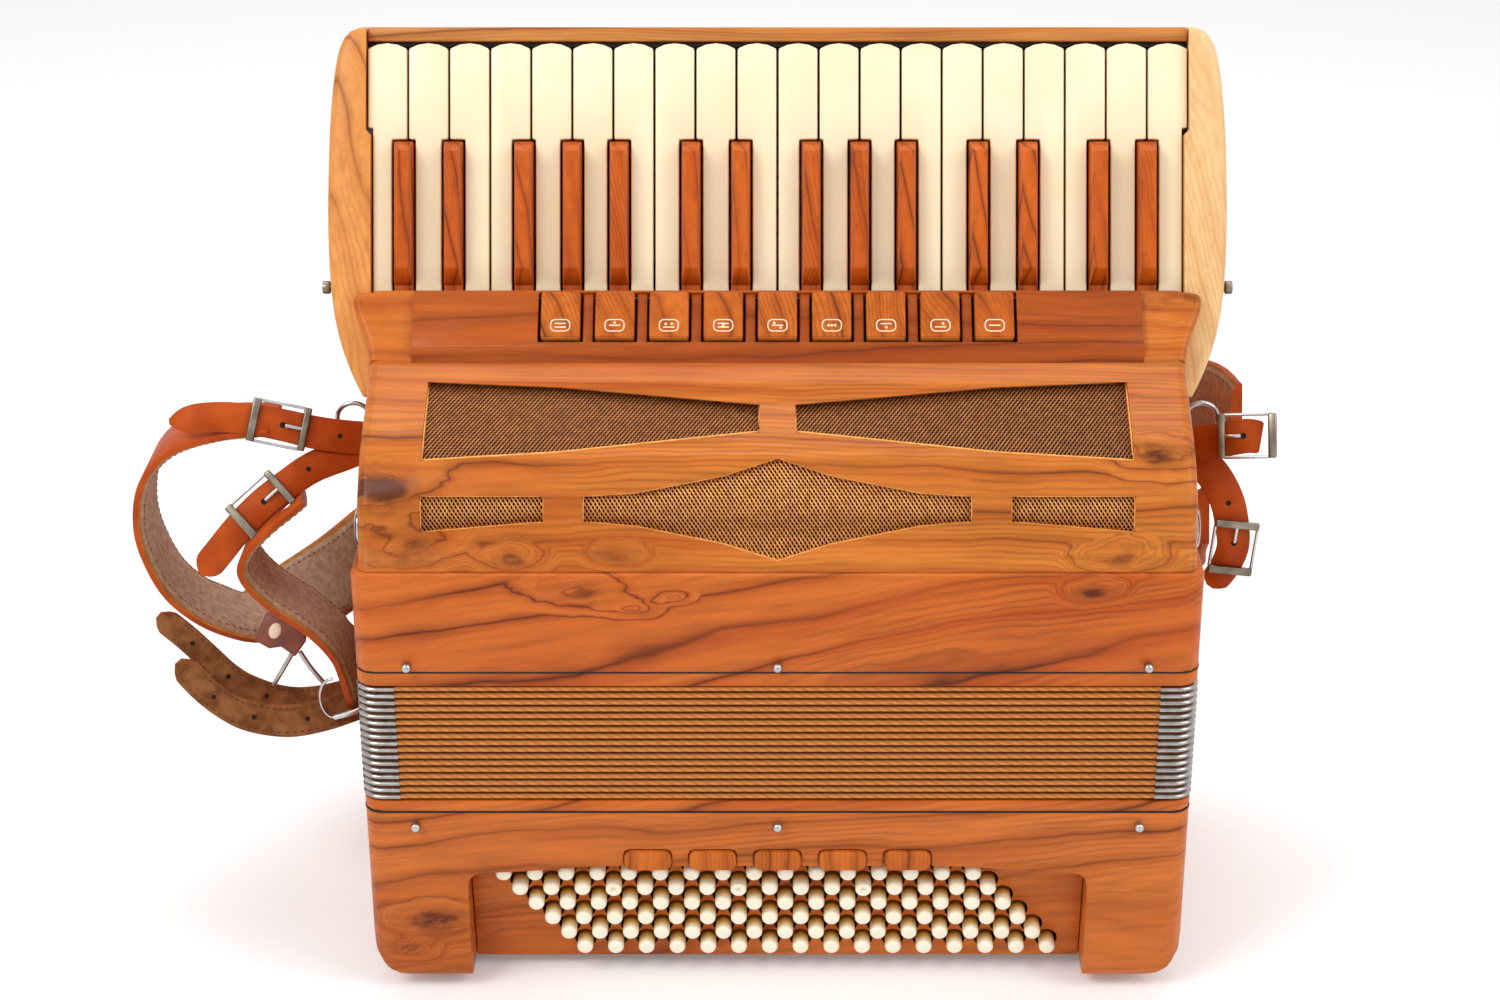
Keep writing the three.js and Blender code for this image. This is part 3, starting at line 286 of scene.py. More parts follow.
def rounded(left, right, low, high, radius, steps=6):
    """The outline of a rectangle with round corners."""
    outline = []
    corners = [(right - radius, low + radius, 3), (right - radius, high - radius, 0),
               (left + radius, high - radius, 1), (left + radius, low + radius, 2)]
    for x, y, quarter in corners:
        for k in range(steps + 1):
            angle = (quarter + k / steps) * math.pi / 2
            outline.append((x + radius * math.cos(angle), y + radius * math.sin(angle)))
    return outline


print("a rounded outline has", len(rounded(0, 9, 0, 9, 2)), "points")

# %% [markdown]
# Every finish is a small graph of nodes, drawn in code. Colours are written as the eye reads them,
# 0 to 255, and one helper turns them into the linear values that shaders use.

# %% Colours, materials and nodes
def shade(red, green, blue):
    def linear(value):
        value /= 255
        return value / 12.92 if value <= 0.04045 else ((value + 0.055) / 1.055) ** 2.4
    return (linear(red), linear(green), linear(blue), 1)


def new_material(name):
    material = bpy.data.materials.new(name)
    material.use_nodes = True
    shader = material.node_tree.nodes["Principled BSDF"]
    return material, material.node_tree, shader


def node(tree, kind, inputs=None, **settings):
    made = tree.nodes.new(kind)
    for key, value in settings.items():
        setattr(made, key, value)
    for key, value in (inputs or {}).items():
        if isinstance(value, bpy.types.NodeSocket):
            tree.links.new(value, made.inputs[key])
        else:
            made.inputs[key].default_value = value
    return made


print("mid grey in linear light", round(shade(128, 128, 128)[0], 3))

# %% [markdown]
# A graph wired node by node is hard to read. The next helpers add a sum, a vector sum, a colour
# ramp or a blend and hand back its output, so that a finish reads like a calculation. Patterns
# start from Object coordinates, which stay with the piece when its body moves.

# %% Sums, ramps and blends
def object_place(tree):
    return node(tree, "ShaderNodeTexCoord").outputs["Object"]


def vector_node(tree, operation, first, second):
    made = node(tree, "ShaderNodeVectorMath", {0: first, 1: second}, operation=operation)
    return made.outputs["Value" if operation in ("DOT_PRODUCT", "LENGTH") else "Vector"]


def ramp(tree, value, stops, interpolation="LINEAR"):
    made = node(tree, "ShaderNodeValToRGB", {"Fac": value})
    made.color_ramp.interpolation = interpolation
    elements = made.color_ramp.elements
    while len(elements) < len(stops):
        elements.new(0.5)
    for element, (position, colour) in zip(elements, stops):
        element.position = position
        element.color = colour if not isinstance(colour, (int, float)) else (colour, colour, colour, 1)
    return made.outputs["Color"]


def math_node(tree, operation, first, second=0.0):
    return node(tree, "ShaderNodeMath", {0: first, 1: second}, operation=operation).outputs[0]


def blend_colours(tree, factor, first, second):
    made = tree.nodes.new("ShaderNodeMix")
    made.data_type = "RGBA"
    for socket, value in ((made.inputs[0], factor), (made.inputs[6], first), (made.inputs[7], second)):
        if isinstance(value, bpy.types.NodeSocket):
            tree.links.new(value, socket)
        else:
            socket.default_value = value
    return made.outputs[2]


print("graph helpers: object_place, vector_node, ramp, math_node, blend_colours")

# %% [markdown]
# Olive wood has a pale orange ground. Growth lines run along the grain at even spacings, wander
# slowly and fade in and out, with finer hairlines between them. Each starts dark and fades, as a
# growth ring does. Knots push the lines aside and leave a dark stain. A picture of wood would
# repeat and stretch, so the lines are calculated: a height across the grain, disturbed by noise,
# is cut into even steps, and the place within a step gives the tone. A thin clear coat gives the
# lacquer.

# %% Olive wood
def olive_wood(name, grain, light, ground, dark, spacing, offset=0.0, contrast=1.0, tilt=0.0, knots=()):
    """Growth lines along one axis, a spacing in millimetres apart, that swirl round the knots."""
    material, tree, shader = new_material(name)
    light, ground, dark = shade(*light), shade(*ground), shade(*dark)
    place_in = object_place(tree)
    turned_in = node(tree, "ShaderNodeMapping", {
        "Vector": place_in, "Location": (offset, offset * 0.7, offset * 1.3),
        "Rotation": (0, math.radians(tilt), 0)}).outputs[0]

    def calc(operation, first, second):
        return math_node(tree, operation, first, second)

    def stretched(vector, along):
        scale = [1.0, 1.0, 1.0]
        scale["XYZ".index(grain)] = along
        return vector_node(tree, "MULTIPLY", vector, scale)

    def noise(along, scale, detail=2.0, roughness=0.5, distortion=0.0):
        return node(tree, "ShaderNodeTexNoise", {
            "Vector": stretched(turned_in, along), "Scale": scale, "Detail": detail,
            "Roughness": roughness, "Distortion": distortion}).outputs["Fac"]

    across = (1, 0.45, 0) if grain == "Z" else (0, 0.45, 1)
    level = calc("MULTIPLY", vector_node(tree, "DOT_PRODUCT", turned_in, across), 1000 / spacing)
    level = calc("ADD", level, calc("MULTIPLY", noise(0.2, 9.0, 2.0, 0.5, 0.4), 6.0))
    level = calc("ADD", level, calc("MULTIPLY", noise(0.35, 34.0, 3.0), 0.9))
    ragged = calc("MULTIPLY", noise(0.5, 60.0, 3.0, 0.6), 0.6)
    stain = 0.0
    for x, y, z, reach in knots:
        away = stretched(vector_node(tree, "SUBTRACT", place_in, at(x, y, z)), 0.42)
        share = calc("MULTIPLY", vector_node(tree, "LENGTH", away, (0, 0, 0)), 1000 / reach)
        share = calc("ADD", share, ragged)
        swirl = ramp(tree, share, [(0.2, 1.0), (0.6, 0.3), (1.0, 0.0)], "EASE")
        level = calc("ADD", level, calc("MULTIPLY", swirl, 3.0))
        stain = calc("MAXIMUM", stain, ramp(tree, share, [(0.4, 0.9), (0.55, 0.4), (0.85, 0.0)], "EASE"))

    phase = calc("FRACT", level, 0.0)
    lines = ramp(tree, phase, [
        (0.0, 0.95), (0.03, 0.7), (0.09, 0.3), (0.3, 0.06), (0.8, 0.0), (0.95, 0.3), (1.0, 0.95)])
    lines = calc("MULTIPLY", lines, ramp(tree, noise(0.3, 13.0, 2.0, 0.5, 0.4), [(0.4, 0.08), (0.62, 1.0)]))
    hair = calc("FRACT", calc("MULTIPLY", level, 5.0), 0.0)
    hair = ramp(tree, hair, [(0.0, 0.42), (0.22, 0.08), (0.6, 0.0), (1.0, 0.42)])
    hair = calc("MULTIPLY", hair, ramp(tree, noise(0.4, 22.0), [(0.4, 0.15), (0.6, 1.0)]))
    veins = calc("MULTIPLY", calc("MAXIMUM", lines, hair), contrast)
    if knots:
        blots = ramp(tree, noise(0.45, 75.0, 4.0, 0.65), [(0.42, 0.15), (0.6, 1.0)])
        veins = calc("MAXIMUM", veins, calc("MULTIPLY", stain, blots))

    band = calc("MULTIPLY", ramp(tree, phase, [(0.0, 0.8), (0.25, 0.1), (0.6, 0.25), (1.0, 1.0)]), 0.5)
    broad = ramp(tree, noise(0.25, 8.0, 3.0, 0.5, 0.6), [(0.38, 0.0), (0.64, 0.6)])
    colour = blend_colours(tree, calc("ADD", band, broad), light, ground)
    colour = blend_colours(tree, veins, colour, dark)
    streak = ramp(tree, noise(0.08, 260.0, 3.0, 0.6), [(0.42, 0.0), (0.74, 0.3)])
    tree.links.new(blend_colours(tree, streak, colour, dark), shader.inputs["Base Color"])
    shader.inputs["Roughness"].default_value = 0.38
    shader.inputs["Specular IOR Level"].default_value = 0.1
    shader.inputs["Coat Weight"].default_value = 0.16
    shader.inputs["Coat Roughness"].default_value = 0.12
    print(name, len(tree.nodes), "nodes")
    return material


# %% [markdown]
# Every board was cut from another part of the log, so each piece gets its own spacing, shift and
# tones. The knots lie where this instrument has them: a place in millimetres and a reach. The
# wooden sharps and tabs have their grain along the key, and the rest has it from side to side.

# %% Boards of olive wood
DARK = (72, 26, 8)
BAND_KNOTS = [(-90, 0, 209, 20), (-64, 0, 201, 12), (-46, 0, 207, 8), (140, 0, 209, 13)]
COVER_KNOTS = [(-180, 18, 250, 28), (-164, 8, 229, 24), (-118, 5, 224, 15), (-70, 5, 226, 13),
               (172, 30, 262, 22), (152, 4, 224, 18), (183, 100, 310, 24), (30, 55, 290, 13)]
BASS_KNOTS = [(-160, 0, 38, 22), (-171, 0, 22, 12)]
PANEL_KNOTS = [(-108, 98, 289, 16), (112, 98, 287, 16), (150, 98, 292, 13), (-30, 98, 289, 12)]
wood_band = olive_wood(
    "olive_wood_band", "X", (226, 126, 50), (192, 84, 24), DARK, 21, 0.31, 0.95, 8, BAND_KNOTS)
wood_cover = olive_wood(
    "olive_wood_cover", "X", (220, 132, 52), (190, 92, 26), DARK, 17, 1.7, 0.85, 0, COVER_KNOTS)
wood_bass = olive_wood(
    "olive_wood_bass", "X", (216, 120, 52), (184, 86, 30), DARK, 19, 3.3, 0.8, 5, BASS_KNOTS)
wood_panel = olive_wood(
    "olive_wood_panel", "X", (194, 96, 32), (156, 66, 16), DARK, 21, 2.6, 0.6, 0, PANEL_KNOTS)
wood_tabs = olive_wood("olive_wood_tabs", "Z", (214, 114, 36), (176, 78, 18), (84, 34, 10), 11, 5.1)
wood_sharps = olive_wood("olive_wood_sharps", "Z", (220, 108, 32), (190, 80, 18), (96, 34, 10), 8, 2.2)
wood_rail = olive_wood("olive_wood_rail", "X", (222, 152, 82), (186, 106, 44), (100, 48, 20), 9, 4.4)
# a lighter copy of the tab wood: a painted highlight for the tabs' lower end faces
wood_tab_ends_lit = olive_wood("olive_wood_tab_ends_painted_highlight", "X", (236, 158, 76), (214, 128, 52), (130, 66, 24), 11)
wood_left = olive_wood(
    "olive_wood_left_cheek", "Z", (236, 160, 86), (210, 126, 58), (140, 70, 28), 15, 6.2, 0.8)
wood_right = olive_wood(
    "pale_wood_right_cheek", "Z", (244, 202, 146), (232, 180, 118), (186, 120, 60), 13, 7.7, 0.6)
print("knots on the band", len(BAND_KNOTS), "and on the cover", len(COVER_KNOTS))

# %% [markdown]
# The other finishes are plastic, metal, leather, felt and rubber. Some also paint light and shade:
# the lit and the shaded brass, and the dark finish and the felt where they fill holes and gaps. None
# of them is one flat tone in reality, so each mixes two close colours by noise and may carry a fine
# bump. One recipe serves them all, and only its numbers change: leather hardly shines, and metal
# shines all over.

# %% Other finishes
def plain_finish(name, colour, second, roughness, scale, metallic=0.0, bump=0.0, coat=0.0, specular=0.5):
    """A finish with a slight mottle of two colours and a fine bump."""
    material, tree, shader = new_material(name)
    mottle = node(tree, "ShaderNodeTexNoise", {"Vector": object_place(tree), "Scale": scale, "Detail": 4.0})
    factor = ramp(tree, mottle.outputs["Fac"], [(0.35, 0.0), (0.65, 1.0)])
    tree.links.new(blend_colours(tree, factor, shade(*colour), shade(*second)), shader.inputs["Base Color"])
    shader.inputs["Roughness"].default_value = roughness
    shader.inputs["Metallic"].default_value = metallic
    shader.inputs["Coat Weight"].default_value = coat
    shader.inputs["Coat Roughness"].default_value = 0.08
    shader.inputs["Specular IOR Level"].default_value = specular
    if bump:
        height = node(tree, "ShaderNodeBump", {
            "Height": mottle.outputs["Fac"], "Strength": bump, "Distance": 0.0002})
        tree.links.new(height.outputs[0], shader.inputs["Normal"])
    return material


ivory = plain_finish("ivory_plastic", (250, 234, 198), (247, 228, 188), 0.3, 30, coat=0.25)
chrome = plain_finish("chrome", (196, 194, 194), (170, 168, 168), 0.16, 80, metallic=1.0)
nickel = plain_finish("dull_nickel", (150, 140, 124), (112, 102, 90), 0.34, 120, metallic=1.0)
corner_steel = plain_finish("corner_steel", (176, 170, 166), (150, 144, 140), 0.22, 200, metallic=1.0)
# the lit and the shaded brass are copies of one brass, with a painted highlight and painted shade, for the
# net's strands; the mid brass lies between them
brass_lit = plain_finish("brass_lit", (246, 178, 96), (220, 146, 66), 0.4, 300, metallic=0.5)
brass_mid = plain_finish("brass_mid", (196, 126, 58), (164, 98, 40), 0.4, 300, metallic=0.5)
brass_shade = plain_finish("brass_shade", (120, 64, 18), (92, 46, 10), 0.5, 300, metallic=0.3)
rubber = plain_finish("rubber", (34, 33, 32), (46, 44, 42), 0.7, 300, bump=0.3)
# felt for the key strip and the gaskets, also used as painted shade in the strap holes and behind the button
# holes
felt_and_painted_shade = plain_finish("dark_felt_and_painted_shade", (26, 24, 22), (40, 36, 32), 0.95, 900, bump=0.6)
# painted shade: a dark finish for the button holes' walls, the bar under the register slot and the lining
# behind the net
painted_shade_dark = plain_finish("painted_shade_inside", (34, 14, 4), (24, 9, 3), 0.8, 120, bump=0.2)
mark_white = plain_finish("mark_enamel", (248, 228, 200), (240, 214, 184), 0.4, 500)
leather = plain_finish("strap_leather", (188, 80, 20), (164, 62, 12), 0.5, 60, bump=0.35, specular=0.14)
brown_leather = plain_finish("keeper_leather", (138, 66, 38), (108, 46, 26), 0.5, 90, bump=0.35, coat=0.1)
piping = plain_finish("strap_piping", (196, 140, 76), (166, 110, 52), 0.6, 200, specular=0.2)
suede = plain_finish("strap_lining", (198, 166, 140), (170, 136, 110), 0.9, 350, bump=0.6)
dark_suede = plain_finish("tail_lining", (156, 102, 62), (118, 70, 36), 0.9, 160, bump=0.6, specular=0.15)
thread = plain_finish("strap_thread", (104, 60, 34), (84, 46, 26), 0.7, 600)
print("finishes, with the CAD model's own:", len(bpy.data.materials))

# %% [markdown]
# The picture is a studio one on white: a pale floor that runs back out of sight and a white
# surround. The white is seen by the camera and by mirrors only. More light on the object would
# also turn the background white, but it would wash out the wood, so the light that falls on the
# object stays lower.

# %% Floor and surround
FLOOR_WIDTH, FLOOR_GLOW, SURROUND_LIGHT = 14, 0.14, 0.62
bpy.ops.mesh.primitive_plane_add(size=1, location=at(0, 0, 0))
floor = bpy.context.object
floor.data.transform(Matrix.Diagonal((FLOOR_WIDTH, FLOOR_WIDTH, 1, 1)))
place(floor, Matrix.Identity(4))
floor.name = "floor"
white_floor, tree, shader = new_material("floor_paper")


def seen_directly(tree):
    """1 for rays from the camera, from a mirror or through glass, and 0 for the rest."""
    rays = node(tree, "ShaderNodeLightPath").outputs
    seen = math_node(tree, "MAXIMUM", rays["Is Camera Ray"], rays["Is Glossy Ray"])
    return math_node(tree, "MAXIMUM", seen, rays["Is Transmission Ray"])


paper = node(tree, "ShaderNodeTexNoise", {"Scale": 3.0})
tree.links.new(blend_colours(tree, paper.outputs["Fac"], shade(250, 250, 251), shade(246, 246, 247)),
               shader.inputs["Base Color"])
shader.inputs["Roughness"].default_value = 0.9
shader.inputs["Specular IOR Level"].default_value = 0.1
shader.inputs["Emission Color"].default_value = (1, 1, 1, 1)
glow = math_node(tree, "MULTIPLY", seen_directly(tree), FLOOR_GLOW)
tree.links.new(glow, shader.inputs["Emission Strength"])
floor.data.materials.append(white_floor)

world = bpy.data.worlds.new("studio")
bpy.context.scene.world = world
world.use_nodes = True
tree = world.node_tree
surround = tree.nodes["Background"]
surround.inputs["Color"].default_value = (1, 1, 1, 1)
surround.inputs["Strength"].default_value = SURROUND_LIGHT
seen = node(tree, "ShaderNodeBackground", {"Color": (1, 1, 1, 1), "Strength": 1.0})
mixed = node(tree, "ShaderNodeMixShader", {
    0: seen_directly(tree), 1: surround.outputs[0], 2: seen.outputs[0]})
tree.links.new(mixed.outputs[0], tree.nodes["World Output"].inputs["Surface"])
print("floor", round(floor.dimensions.x, 1), "m wide")

# %% [markdown]
# Three large soft lamps stand round the instrument: a main one at the left front, a weaker one at
# the right front, and a wide one above and behind. Large lamps give soft shadows and long, quiet
# highlights on the lacquer, as in the picture. Their places, sizes and power are in metres and
# watts.

# %% Lamps
def soft_box(name, location, target, size, power):
    bpy.ops.object.light_add(type="AREA", location=location)
    lamp = bpy.context.object
    lamp.name = name
    lamp.data.shape = "RECTANGLE"
    lamp.data.size, lamp.data.size_y = size
    lamp.data.energy = power
    aim = Vector(target) - Vector(location)
    lamp.rotation_euler = aim.to_track_quat("-Z", "Y").to_euler()


MIDDLE = (0, 0, 0.2)
soft_box("key_light", (-1.1, -1.0, 1.6), MIDDLE, (0.9, 0.9), 16)
soft_box("fill_light", (1.3, -0.7, 1.3), MIDDLE, (0.8, 1.2), 9)
soft_box("top_light", (0, 0.6, 1.9), MIDDLE, (1.6, 0.8), 12)
print("lamps", len(bpy.data.lights))

# %% [markdown]
# The cases, frames and cheeks have the right shape in the CAD model, but their edges are sharp.
# A real case is sanded round before it is lacquered, so each one is copied, cleaned and bevelled.
# The faces below the feet's upper edge are rubber.

# %% Wooden cases and frames
bass = soften(cleaned_copy("bass_case"), 1.2, 3, 50)
dress(bass, "bass_case_wood", wood_bass, "bass_end", "olive_wood", "bass_case")
bass.data.materials.append(rubber)
for face in bass.data.polygons:
    if face.center.z < at(0, 0, FOOT - 0.2).z:
        face.material_index = 1
band = soften(cleaned_copy("treble_case"), 1.0, 3, 50)
dress(band, "treble_case_wood", wood_band, "treble_end", "olive_wood", "treble_case")
for side in ("bass", "treble"):
    rail = soften(cleaned_copy("bellows_frame_" + side), 1.1, 3, 50)
    dress(rail, "bellows_frame_%s_wood" % side, wood_band, side + "_end", "olive_wood",
          "bellows_frame_" + side)
print("cases", len(bass.data.polygons) + len(band.data.polygons), "faces")

# %% [markdown]
# The grille cover is bent from the keyboard down to the band in one smooth curve. Its section is
# drawn as a curve through the CAD model's own points. A curve that passes through its points is
# used, because the points were read from the picture and should stay where they are.

# %% Section of the cover
def curve_through(points, steps):
    """A smooth curve through points, with so many steps between two of them."""
    points = [Vector(p) for p in points]
    ends = [points[0] * 2 - points[1]] + points + [points[-1] * 2 - points[-2]]
    result = []
    for i in range(1, len(ends) - 2):
        a, b, c, d = ends[i - 1], ends[i], ends[i + 1], ends[i + 2]
        for k in range(steps):
            t = k / steps
            result.append(0.5 * ((2 * b) + (c - a) * t + (2 * a - 5 * b + 4 * c - d) * t * t
                                 + (3 * b - 3 * c + d - a) * t ** 3))
    return result + [points[-1]]


def inward(line, distance):
    """The same line moved sideways, towards the inside of the cover."""
    moved = []
    for i, p in enumerate(line):
        along = (line[min(i + 1, len(line) - 1)] - line[max(i - 1, 0)]).normalized()
        moved.append(Vector((p.x + along.y * distance, p.y - along.x * distance)))
    return moved


cover_points = [(COVER_LIP + run * COVER_RUN, BAND_TOP + 0.3 + rise * COVER_RISE)
                for run, rise in COVER_SHARES]
cover_line = curve_through(cover_points[:-1], 5) + [Vector(cover_points[-1])]
print("section of", len(cover_line), "points")

# %% [markdown]
# Bent and swept shapes, such as the bellows, the shoulders, the straps and the wires, are skins
# over rings of points. A skin is chosen where no primitive comes near the shape. It can carry a UV
# map, and its ends are closed by a face each.

# %% Skins over rings of points
def skin(name, rings, closed=False, uv=None, matrix=STANDING):
    """A mesh through rings of equally many points, in millimetres, with an optional UV for each."""
    count = len(rings[0])
    vertices = [Vector(p) * MM for ring in rings for p in ring]
    faces, places = [], []
    spans = len(rings) if closed else len(rings) - 1
    for i in range(spans):
        j = (i + 1) % len(rings)
        for k in range(count):
            m = (k + 1) % count
            faces.append((i * count + k, i * count + m, j * count + m, j * count + k))
            places.append(((i, k), (i, k + 1), (i + 1, k + 1), (i + 1, k)))
    if not closed:
        faces.append(tuple(reversed(range(count))))
        last = (len(rings) - 1) * count
        faces.append(tuple(range(last, last + count)))
        places += [((0, 0),) * count, ((spans, 0),) * count]
    mesh = bpy.data.meshes.new(name)
    mesh.from_pydata([tuple(v) for v in vertices], [], faces)
    piece = bpy.data.objects.new(name, mesh)
    bpy.context.scene.collection.objects.link(piece)
    if uv:
        layer = mesh.uv_layers.new(name="pattern")
        for face, corners in zip(mesh.polygons, places):
            for loop, (i, k) in zip(face.loop_indices, corners):
                layer.data[loop].uv = uv(i, k)
    return place(outwards(piece), matrix)


print("helper for swept shapes: skin")

# %% [markdown]
# Two kinds of skin come back. A rounded plate has one curved edge that is rolled on both faces, and
# the rings are its outline at several depths. A wire has a ring of eight points at each place along
# its run, square to it, as round stock keeps when it is bent.

# %% Rounded plates and wires
WIRE_SIDES = 8


def rounded_plate(name, curve, rest, low, high, radius, steps, matrix):
    """A plate whose curved edge is rounded on both faces; the rest of its outline stays square."""
    levels = []
    for k in range(steps + 1):
        angle = k / steps * math.pi / 2
        levels.append((radius * (1 - math.cos(angle)), radius * (1 - math.sin(angle))))
    rings = [[(p.x, p.y, low + rise) for p in inward(curve, inset) + rest] for rise, inset in levels]
    rings += [[(p.x, p.y, high - rise) for p in inward(curve, inset) + rest]
              for rise, inset in reversed(levels)]
    return skin(name, rings, matrix=matrix)


def wire(points, radius, matrix=STANDING, closed=False, steps=6):
    """A round wire through a few points, in millimetres."""
    line = [Vector(p) for p in points] if closed else curve_through(points, steps)
    rings = []
    for i, p in enumerate(line):
        ahead = line[(i + 1) % len(line)] if closed else line[min(i + 1, len(line) - 1)]
        along = (ahead - (line[i - 1] if closed or i else p)).normalized()
        side = along.cross(Vector((0.2, 1, 0.3))).normalized()
        up = along.cross(side)
        rings.append([p + (side * math.cos(a) + up * math.sin(a)) * radius
                      for a in [math.radians(360 / WIRE_SIDES * k) for k in range(WIRE_SIDES)]])
    return smooth(skin("wire", rings, closed=closed, matrix=matrix), 60)


print("a wire has", WIRE_SIDES, "sides")

# %% [markdown]
# The cover is a shell of even wall. Its section is extruded from side to side, the long edges at
# both ends are rolled over with a bevel, and the same section, moved inwards by the wall, is cut
# out of it. The edges to bevel are found by their place: both ends of each lie on the curve.

# %% Shell of the cover
COVER_HALF, COVER_WALL, COVER_EDGE = 186.5, 3, 5
TAIL = KEYS @ (Vector((0, -24, 1.2)) * MM) - BASE
HEAD = KEYS @ (Vector((0, -2.4, 1.2)) * MM) - BASE
BACK, FAR_BEHIND = 95.7, 190
section = [tuple(p) for p in cover_line]
section += [(HEAD.y / MM, HEAD.z / MM), (TAIL.y / MM, TAIL.z / MM)]
section += [(BACK, BAND_TOP + 65), (BACK, BAND_TOP + 0.3)]
cover = slab(section, -COVER_HALF, COVER_HALF, axis="X")
only(cover)
bpy.ops.object.mode_set(mode="EDIT")
bpy.ops.mesh.select_mode(type="EDGE")
bpy.ops.mesh.select_all(action="DESELECT")
bpy.ops.object.mode_set(mode="OBJECT")
front = {(round(p.x, 3), round(p.y, 3)) for p in cover_line}
for edge in cover.data.edges:
    ends = [(cover.data.vertices[i].co - BASE) / MM for i in edge.vertices]
    on_front = all((round(e.y, 3), round(e.z, 3)) in front for e in ends)
    edge.select = on_front and abs(ends[0].x - ends[1].x) < 0.01
bpy.ops.object.mode_set(mode="EDIT")
bpy.ops.mesh.bevel(offset=COVER_EDGE * MM, segments=5, profile=0.5, affect="EDGES")
bpy.ops.object.mode_set(mode="OBJECT")
inner = inward(cover_line, COVER_WALL)
hollow = [(inner[0].x, BAND_TOP - 10)] + [tuple(p) for p in inner]
hollow += [(FAR_BEHIND, inner[-1].y), (FAR_BEHIND, BAND_TOP - 10)]
cut(cover, slab(hollow, -COVER_HALF + COVER_WALL, COVER_HALF - COVER_WALL, axis="X"))
print("cover shell", len(cover.data.polygons), "faces")

# %% [markdown]
# Five openings let the sound out: two long wedges above, and a diamond between two small windows
# below. They are drawn flat, as the keyboard's plane sees them, and cut straight through the
# curved shell. A slot under the keys takes the register tabs.

# %% Openings of the grille
UPPER = [(8, -67.2), (98, -76.5), (158.5, -80), (158.5, -44), (98, -46.5), (8, -54.5)]
SMALL = [(103.5, -107), (158.5, -111.6), (158.5, -95.5), (103.5, -95.5)]
DIAMOND_HALF = [(0, -124.5), (24, -117), (63, -109), (86.3, -107), (86.3, -95.5), (63, -94), (24, -86.5)]


def mirrored(points):
    return [(-x, y) for x, y in reversed(points)]


DIAMOND = DIAMOND_HALF + [(0, -78.6)] + mirrored(DIAMOND_HALF)[:-1]
OPENINGS = {
    "upper_right": UPPER, "upper_left": mirrored(UPPER), "lower_right": SMALL,
    "lower_left": mirrored(SMALL), "diamond": DIAMOND,
}
for outline in OPENINGS.values():
    cut(cover, slab(outline, -95, 95, KEYS))
TAB_COUNT, TAB_PITCH, TAB_WIDTH, TAB_LENGTH, TAB_SETBACK = 9, 24.8, 18, 22, 3.6
SLOT_HALF = (TAB_COUNT - 1) / 2 * TAB_PITCH + TAB_WIDTH / 2 + 1.4
SLOT_LOW, SLOT_HIGH = -TAB_SETBACK - TAB_LENGTH - 1.4, -TAB_SETBACK + 1.4


def slot_cutter(depth):
    return block((-SLOT_HALF, SLOT_LOW, -depth), (SLOT_HALF, SLOT_HIGH, depth), SLOPE)


cut(cover, slot_cutter(6))
soften(cover, 0.7, 2, 55)
dress(cover, "grille_cover_wood", wood_cover, "treble_end", "olive_wood", "grille_cover")
print("openings", len(OPENINGS))

# %% [markdown]
# Two things stand proud of the cover: a rounded shoulder at each end of its upper edge, and the
# flat register panel with its long chamfer. A shoulder is a plate whose S-shaped edge is rolled on
# both faces. The left one is the right one mirrored, which turns its faces inside out, so its
# normals are worked out again.

# %% Shoulders and register panel
SHOULDER_REACH, SHOULDER_LENGTH, SHOULDER_DEPTH = 8.5, 35, 10
SHOULDER_SHARES = [
    (0.4, 0), (0.86, 0.03), (1, 0.1), (0.99, 0.2), (0.8, 0.36), (0.48, 0.54), (0.18, 0.76), (0, 1)]
CHEEK_FRONT = KEYS @ Matrix.Translation((0, 0, 3.9 * MM))
edge = curve_through([(COVER_HALF + out * SHOULDER_REACH, -down * SHOULDER_LENGTH)
                      for out, down in SHOULDER_SHARES], 5)
rest = [Vector((COVER_HALF - 6, -SHOULDER_LENGTH)), Vector((COVER_HALF - 6, 0))]
shoulders = []
for side in (-1, 1):
    flip = SLOPE @ Matrix.Diagonal((side, 1, 1, 1))
    shoulder = outwards(rounded_plate("shoulder", edge, rest, -SHOULDER_DEPTH, 0.02, 3, 6, flip))
    cut(shoulder, block((-220, -100, -60), (220, 100, 0), CHEEK_FRONT))
    shoulders.append(smooth(shoulder, 40))
dress(joined("shoulders", shoulders), "cover_shoulders", wood_cover, "treble_end", "olive_wood")

PANEL_HALF = 167
panel_section = [(-36.5, -0.4), (-36.5, 0.1), (-29, 3.0), (-1.2, 3.0), (-1.2, -0.4)]
panel = cut(slab(panel_section, -PANEL_HALF, PANEL_HALF, SLOPE, axis="X"), slot_cutter(9))
soften(panel, 0.6, 2, 12)
dress(panel, "register_panel", wood_panel, "treble_end", "olive_wood")
print("shoulders and panel", 2 * PANEL_HALF, "mm wide")

# %% [markdown]
# Each register is a wooden rocker with a small enamel mark. One tab is modelled and copied, and
# all nine ride on one slider, as their CAD node does. Posts of the panel's wood stand between
# them. The marks are plain bars and dots in a rounded outline, a hair proud of the wood, because
# real shapes stay sharp at any distance.

# %% Treble registers
MARK_THICK = 0.12
MARKS = [
    ([0.9, -0.9], []), ([0.0], [(0, 1.3)]), ([-0.9], [(-1.4, 0.7), (1.4, 0.7)]),
    ([0.9, -0.9], [(0, 0)]), ([0.0], [(-1.5, 1.2), (1.5, -1.2)]), ([], [(-1.5, 0), (0, 0), (1.5, 0)]),
    ([0.8], [(0, -1.0)]), ([-0.8], [(1.2, 0.9)]), ([0.0], []),
]


